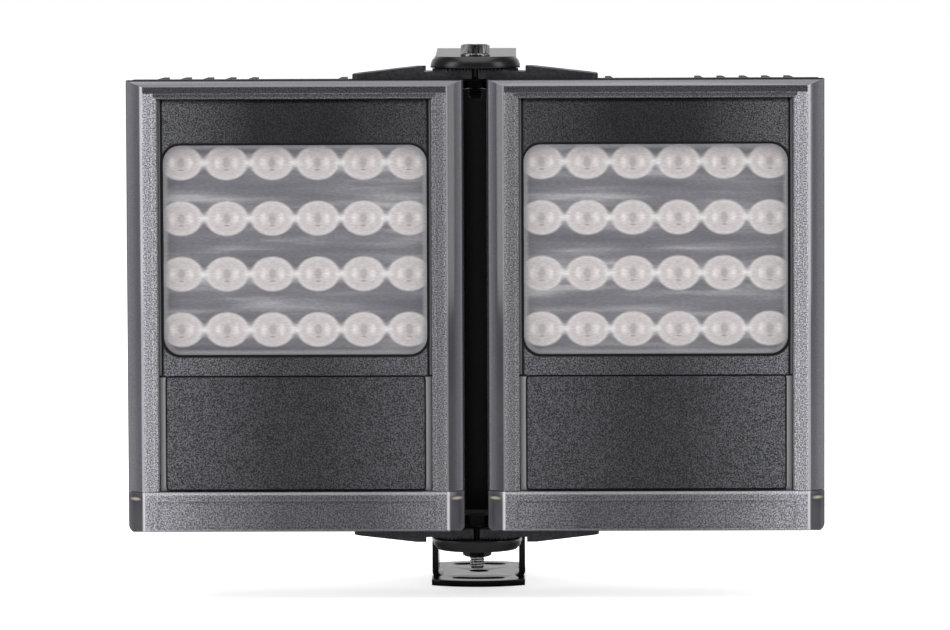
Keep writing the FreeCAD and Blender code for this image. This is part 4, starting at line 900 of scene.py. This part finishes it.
def dress_glands():
    """Cable gland with its domed nut, and the breather vent with its slotted cap."""
    middle, low = lamp_x / MM, panel_bottom / MM
    seat = shoulder_y + 3.0
    flats, face = 15.0 * MM, 7.3 * MM
    body = [circle(3.3 * MM, -9.6 * MM), circle(5.6 * MM, -9.6 * MM), circle(5.9 * MM, -9.2 * MM),
            circle(5.9 * MM, 0.0), circle(face, 0.0), hex_ring(flats, 0.3 * MM), hex_ring(flats, 3.7 * MM),
            circle(face, 4.0 * MM), circle(5.8 * MM, 4.0 * MM), circle(5.8 * MM, 9.9 * MM),
            circle(3.3 * MM, 9.9 * MM)]
    nut = [circle(5.9 * MM, 0.0), circle(face, 0.0), hex_ring(flats, 0.4 * MM), hex_ring(flats, 6.4 * MM),
           circle(7.2 * MM, 7.0 * MM), circle(7.1 * MM, 8.2 * MM), circle(6.5 * MM, 9.8 * MM),
           circle(5.3 * MM, 10.8 * MM), circle(4.2 * MM, 11.0 * MM), circle(3.35 * MM, 10.6 * MM),
           circle(3.35 * MM, 9.5 * MM), circle(5.9 * MM, 9.4 * MM)]
    vent = turned("vent", [(3.8, -8.1), (3.8, 0.0), (6.2, 0.0), (6.45, 0.3), (6.45, 1.9), (6.0, 2.6),
                           (4.9, 2.75), (4.6, 2.3), (3.4, 2.3), (3.1, 2.75), (0.9, 2.75), (0.6, 2.1), (0.1, 2.1)])
    for side, sign in (("right", 1), ("left", -1)):
        at_gland = standing(sign * middle, seat, low + gland_rise, "back")
        at_nut = standing(sign * middle, seat + 4.0, low + gland_rise, "back")
        place_piece(side + "_gland_turned_body", joined_mesh("gland_body", [(skinned("body", body, "closed"), at_gland)]),
                    side + "_gland_body")
        place_piece(side + "_gland_domed_nut", joined_mesh("gland_nut", [(skinned("nut", nut, "closed"), at_nut)]),
                    side + "_gland_nut")
        place_piece(side + "_vent_cap", joined_mesh("vent_cap", [(vent, standing(sign * middle, shoulder_y, low + vent_rise,
                                                                                 "back"))]), side + "_vent")


def rounded_outline(x, half, low, high, corner, outward, steps=8):
    """Points of a rounded rectangle in millimetres, moved outward all round."""
    points = []
    reach = corner + outward
    for quarter, (sx, sz) in enumerate(((1, 1), (-1, 1), (-1, -1), (1, -1))):
        centre_x = x + sx * (half - corner)
        centre_z = high - corner if sz > 0 else low + corner
        for step in range(steps + 1):
            angle = math.pi / 2 * (quarter + step / steps)
            points.append((centre_x + reach * math.cos(angle), centre_z + reach * math.sin(angle)))
    return points


def rebate_cutter(x, outline, width, y_front, y_back):
    """Ring that carves a rebate just outside an outline of the bezel."""
    half, low, high, corner = outline
    rings = []
    for outward, y in ((-0.02, y_front), (width, y_front), (width, y_back), (-0.02, y_back)):
        rings.append([Vector((px, y, pz + panel_bottom / MM)) * MM
                      for px, pz in rounded_outline(x, half, low, high, corner, outward)])
    cutter = bpy.data.objects.new("cutter", skinned("cutter", rings, "closed"))
    bpy.context.scene.collection.objects.link(cutter)
    return cutter


dress_frame()
for side, sign in (("right", 1), ("left", -1)):
    softened(side + "_lens_frame", 0.35)
    softened(side + "_bottom_bar", 0.3, thinned=False)
    bezel_front = frame_front + 1.2
    middle = sign * lamp_x / MM
    carved = (rebate_cutter(middle, window_outline, 0.8, bezel_front - 2.0, bezel_front + 0.5),
              rebate_cutter(middle, pad_outline, 0.6, bezel_front - 2.0, bezel_front + 0.6))
    softened(side + "_bezel", 0.15, cutters=carved)
    softened(side + "_housing", 0.4)
    softened(side + "_top_arm", 0.15, 1)
    softened(side + "_bottom_arm", 0.15, 1)
softened("u_bracket", 0.8, 3)
softened("spine", 0.5, 3, finish=material("smooth_powder_coat", smooth_powder_coat))
dress_pivot_hardware()
dress_tilt_hardware()
dress_optics()
dress_lamp_screws()
dress_glands()


# Camera where the photograph was taken from, in millimetres and degrees
camera_place = Vector((24.8, -2075.7, 257.9)) * MM
camera_pitch = math.radians(2.986)
camera_yaw = math.radians(0.709)
camera_roll = math.radians(0.2256)
camera_lens = 189.5
camera_shift = (-0.0007, -0.1015)


def set_camera():
    made = bpy.data.cameras.new("studio_camera")
    made.lens = camera_lens
    made.sensor_width = 36.0
    made.shift_x, made.shift_y = camera_shift
    made.clip_end = 100.0
    camera = bpy.data.objects.new("studio_camera", made)
    bpy.context.scene.collection.objects.link(camera)
    right = Vector((math.cos(camera_yaw), math.sin(camera_yaw), 0))
    level = Vector((-math.sin(camera_yaw), math.cos(camera_yaw), 0))
    ahead = level * math.cos(camera_pitch) - Vector((0, 0, 1)) * math.sin(camera_pitch)
    up = level * math.sin(camera_pitch) + Vector((0, 0, 1)) * math.cos(camera_pitch)
    across = right * math.cos(camera_roll) - up * math.sin(camera_roll)
    upward = right * math.sin(camera_roll) + up * math.cos(camera_roll)
    facing = Matrix((across, upward, -ahead)).transposed().to_4x4()
    camera.matrix_world = Matrix.Translation(camera_place) @ facing
    bpy.context.scene.camera = camera


def soft_light(name, place, target, width, height, power):
    """A softbox that points at a target."""
    made = bpy.data.lights.new(name, "AREA")
    made.shape = "RECTANGLE"
    made.size = width
    made.size_y = height
    made.energy = power
    light = bpy.data.objects.new(name, made)
    bpy.context.scene.collection.objects.link(light)
    light.location = place
    light.rotation_euler = (Vector(target) - Vector(place)).to_track_quat("-Z", "Y").to_euler()


# White room behind the object for the camera and for gloss and clear plastic, and a
# softer level of it for the light that falls on the object
def set_world():
    world = bpy.data.worlds.new("white_room")
    bpy.context.scene.world = world
    world.use_nodes = True
    tree = world.node_tree
    tree.nodes.clear()
    path = add(tree, "ShaderNodeLightPath").node
    direction = add(tree, "ShaderNodeSeparateXYZ",
                    {0: add(tree, "ShaderNodeTexCoord").node.outputs["Generated"]}).node
    # In reflections only the wall behind the object is white; the rest of the room is dim
    ahead = add(tree, "ShaderNodeMapRange",
                {"Value": direction.outputs["Y"], "From Min": 0.55, "From Max": 0.93,
                 "To Min": 0.13, "To Max": 1.0})
    mirrored = add(tree, "ShaderNodeMath",
                   {0: path.outputs["Is Glossy Ray"], 1: path.outputs["Is Transmission Ray"]},
                   operation="MAXIMUM")
    ambient = add(tree, "ShaderNodeMix", {0: mirrored, 2: 0.55, 3: ahead})
    strength = add(tree, "ShaderNodeMix", {0: path.outputs["Is Camera Ray"], 2: ambient, 3: 1.0})
    room = add(tree, "ShaderNodeBackground", {"Color": linear("#ffffff"), "Strength": strength})
    add(tree, "ShaderNodeOutputWorld", {"Surface": room})


# Pale matt floor that stays white to the camera, and behind the object in reflections,
# and keeps shadows. In front of the object it is mirrored as the dark half of the room
def white_paper(tree):
    path = add(tree, "ShaderNodeLightPath").node
    fibre = speckle(tree, 30.0)
    tone = add(tree, "ShaderNodeValToRGB", {"Fac": fibre}, stops=[(0.3, "#f3f3f3"), (0.7, "#f6f6f6")])
    ahead = add(tree, "ShaderNodeSeparateXYZ", {0: rest_place(tree)}).node.outputs["Y"]
    in_front = add(tree, "ShaderNodeMapRange", {"Value": ahead, "From Min": 0.1, "From Max": 0.0})
    shaded = add(tree, "ShaderNodeMath", {0: in_front, 1: path.outputs["Is Glossy Ray"]}, operation="MULTIPLY")
    paper = add(tree, "ShaderNodeBsdfDiffuse", {"Color": laid_over(tree, shaded, tone, linear("#b4b4b4"))})
    mirrored = add(tree, "ShaderNodeMath",
                   {0: path.outputs["Is Glossy Ray"], 1: path.outputs["Is Transmission Ray"]},
                   operation="MAXIMUM")
    seen = add(tree, "ShaderNodeMath", {0: mirrored, 1: path.outputs["Is Camera Ray"]}, operation="MAXIMUM")
    white = add(tree, "ShaderNodeMath", {0: seen, 1: shaded}, operation="SUBTRACT", use_clamp=True)
    lift = add(tree, "ShaderNodeMath", {0: white, 1: 0.64}, operation="MULTIPLY")
    glow = add(tree, "ShaderNodeEmission", {"Strength": lift})
    return add(tree, "ShaderNodeAddShader", {0: paper, 1: glow})


def set_floor():
    mesh = skinned("floor", [circle(12.0, -0.002, 96), circle(12.0, 0.0, 96)])
    floor = bpy.data.objects.new("floor", mesh)
    bpy.context.scene.collection.objects.link(floor)
    mesh.materials.append(material("white_paper", white_paper))


set_camera()
set_world()
set_floor()
soft_light("overhead_softbox", (0.0, -0.4, 1.6), (0.0, -0.05, 0.1), 1.6, 1.6, 15.0)
soft_light("left_softbox", (-1.5, -0.75, 0.75), (0.0, 0.0, 0.12), 0.6, 1.3, 9.0)
soft_light("right_softbox", (1.5, -0.75, 0.75), (0.0, 0.0, 0.12), 0.6, 1.3, 7.5)
bpy.context.scene.view_settings.view_transform = "Standard"
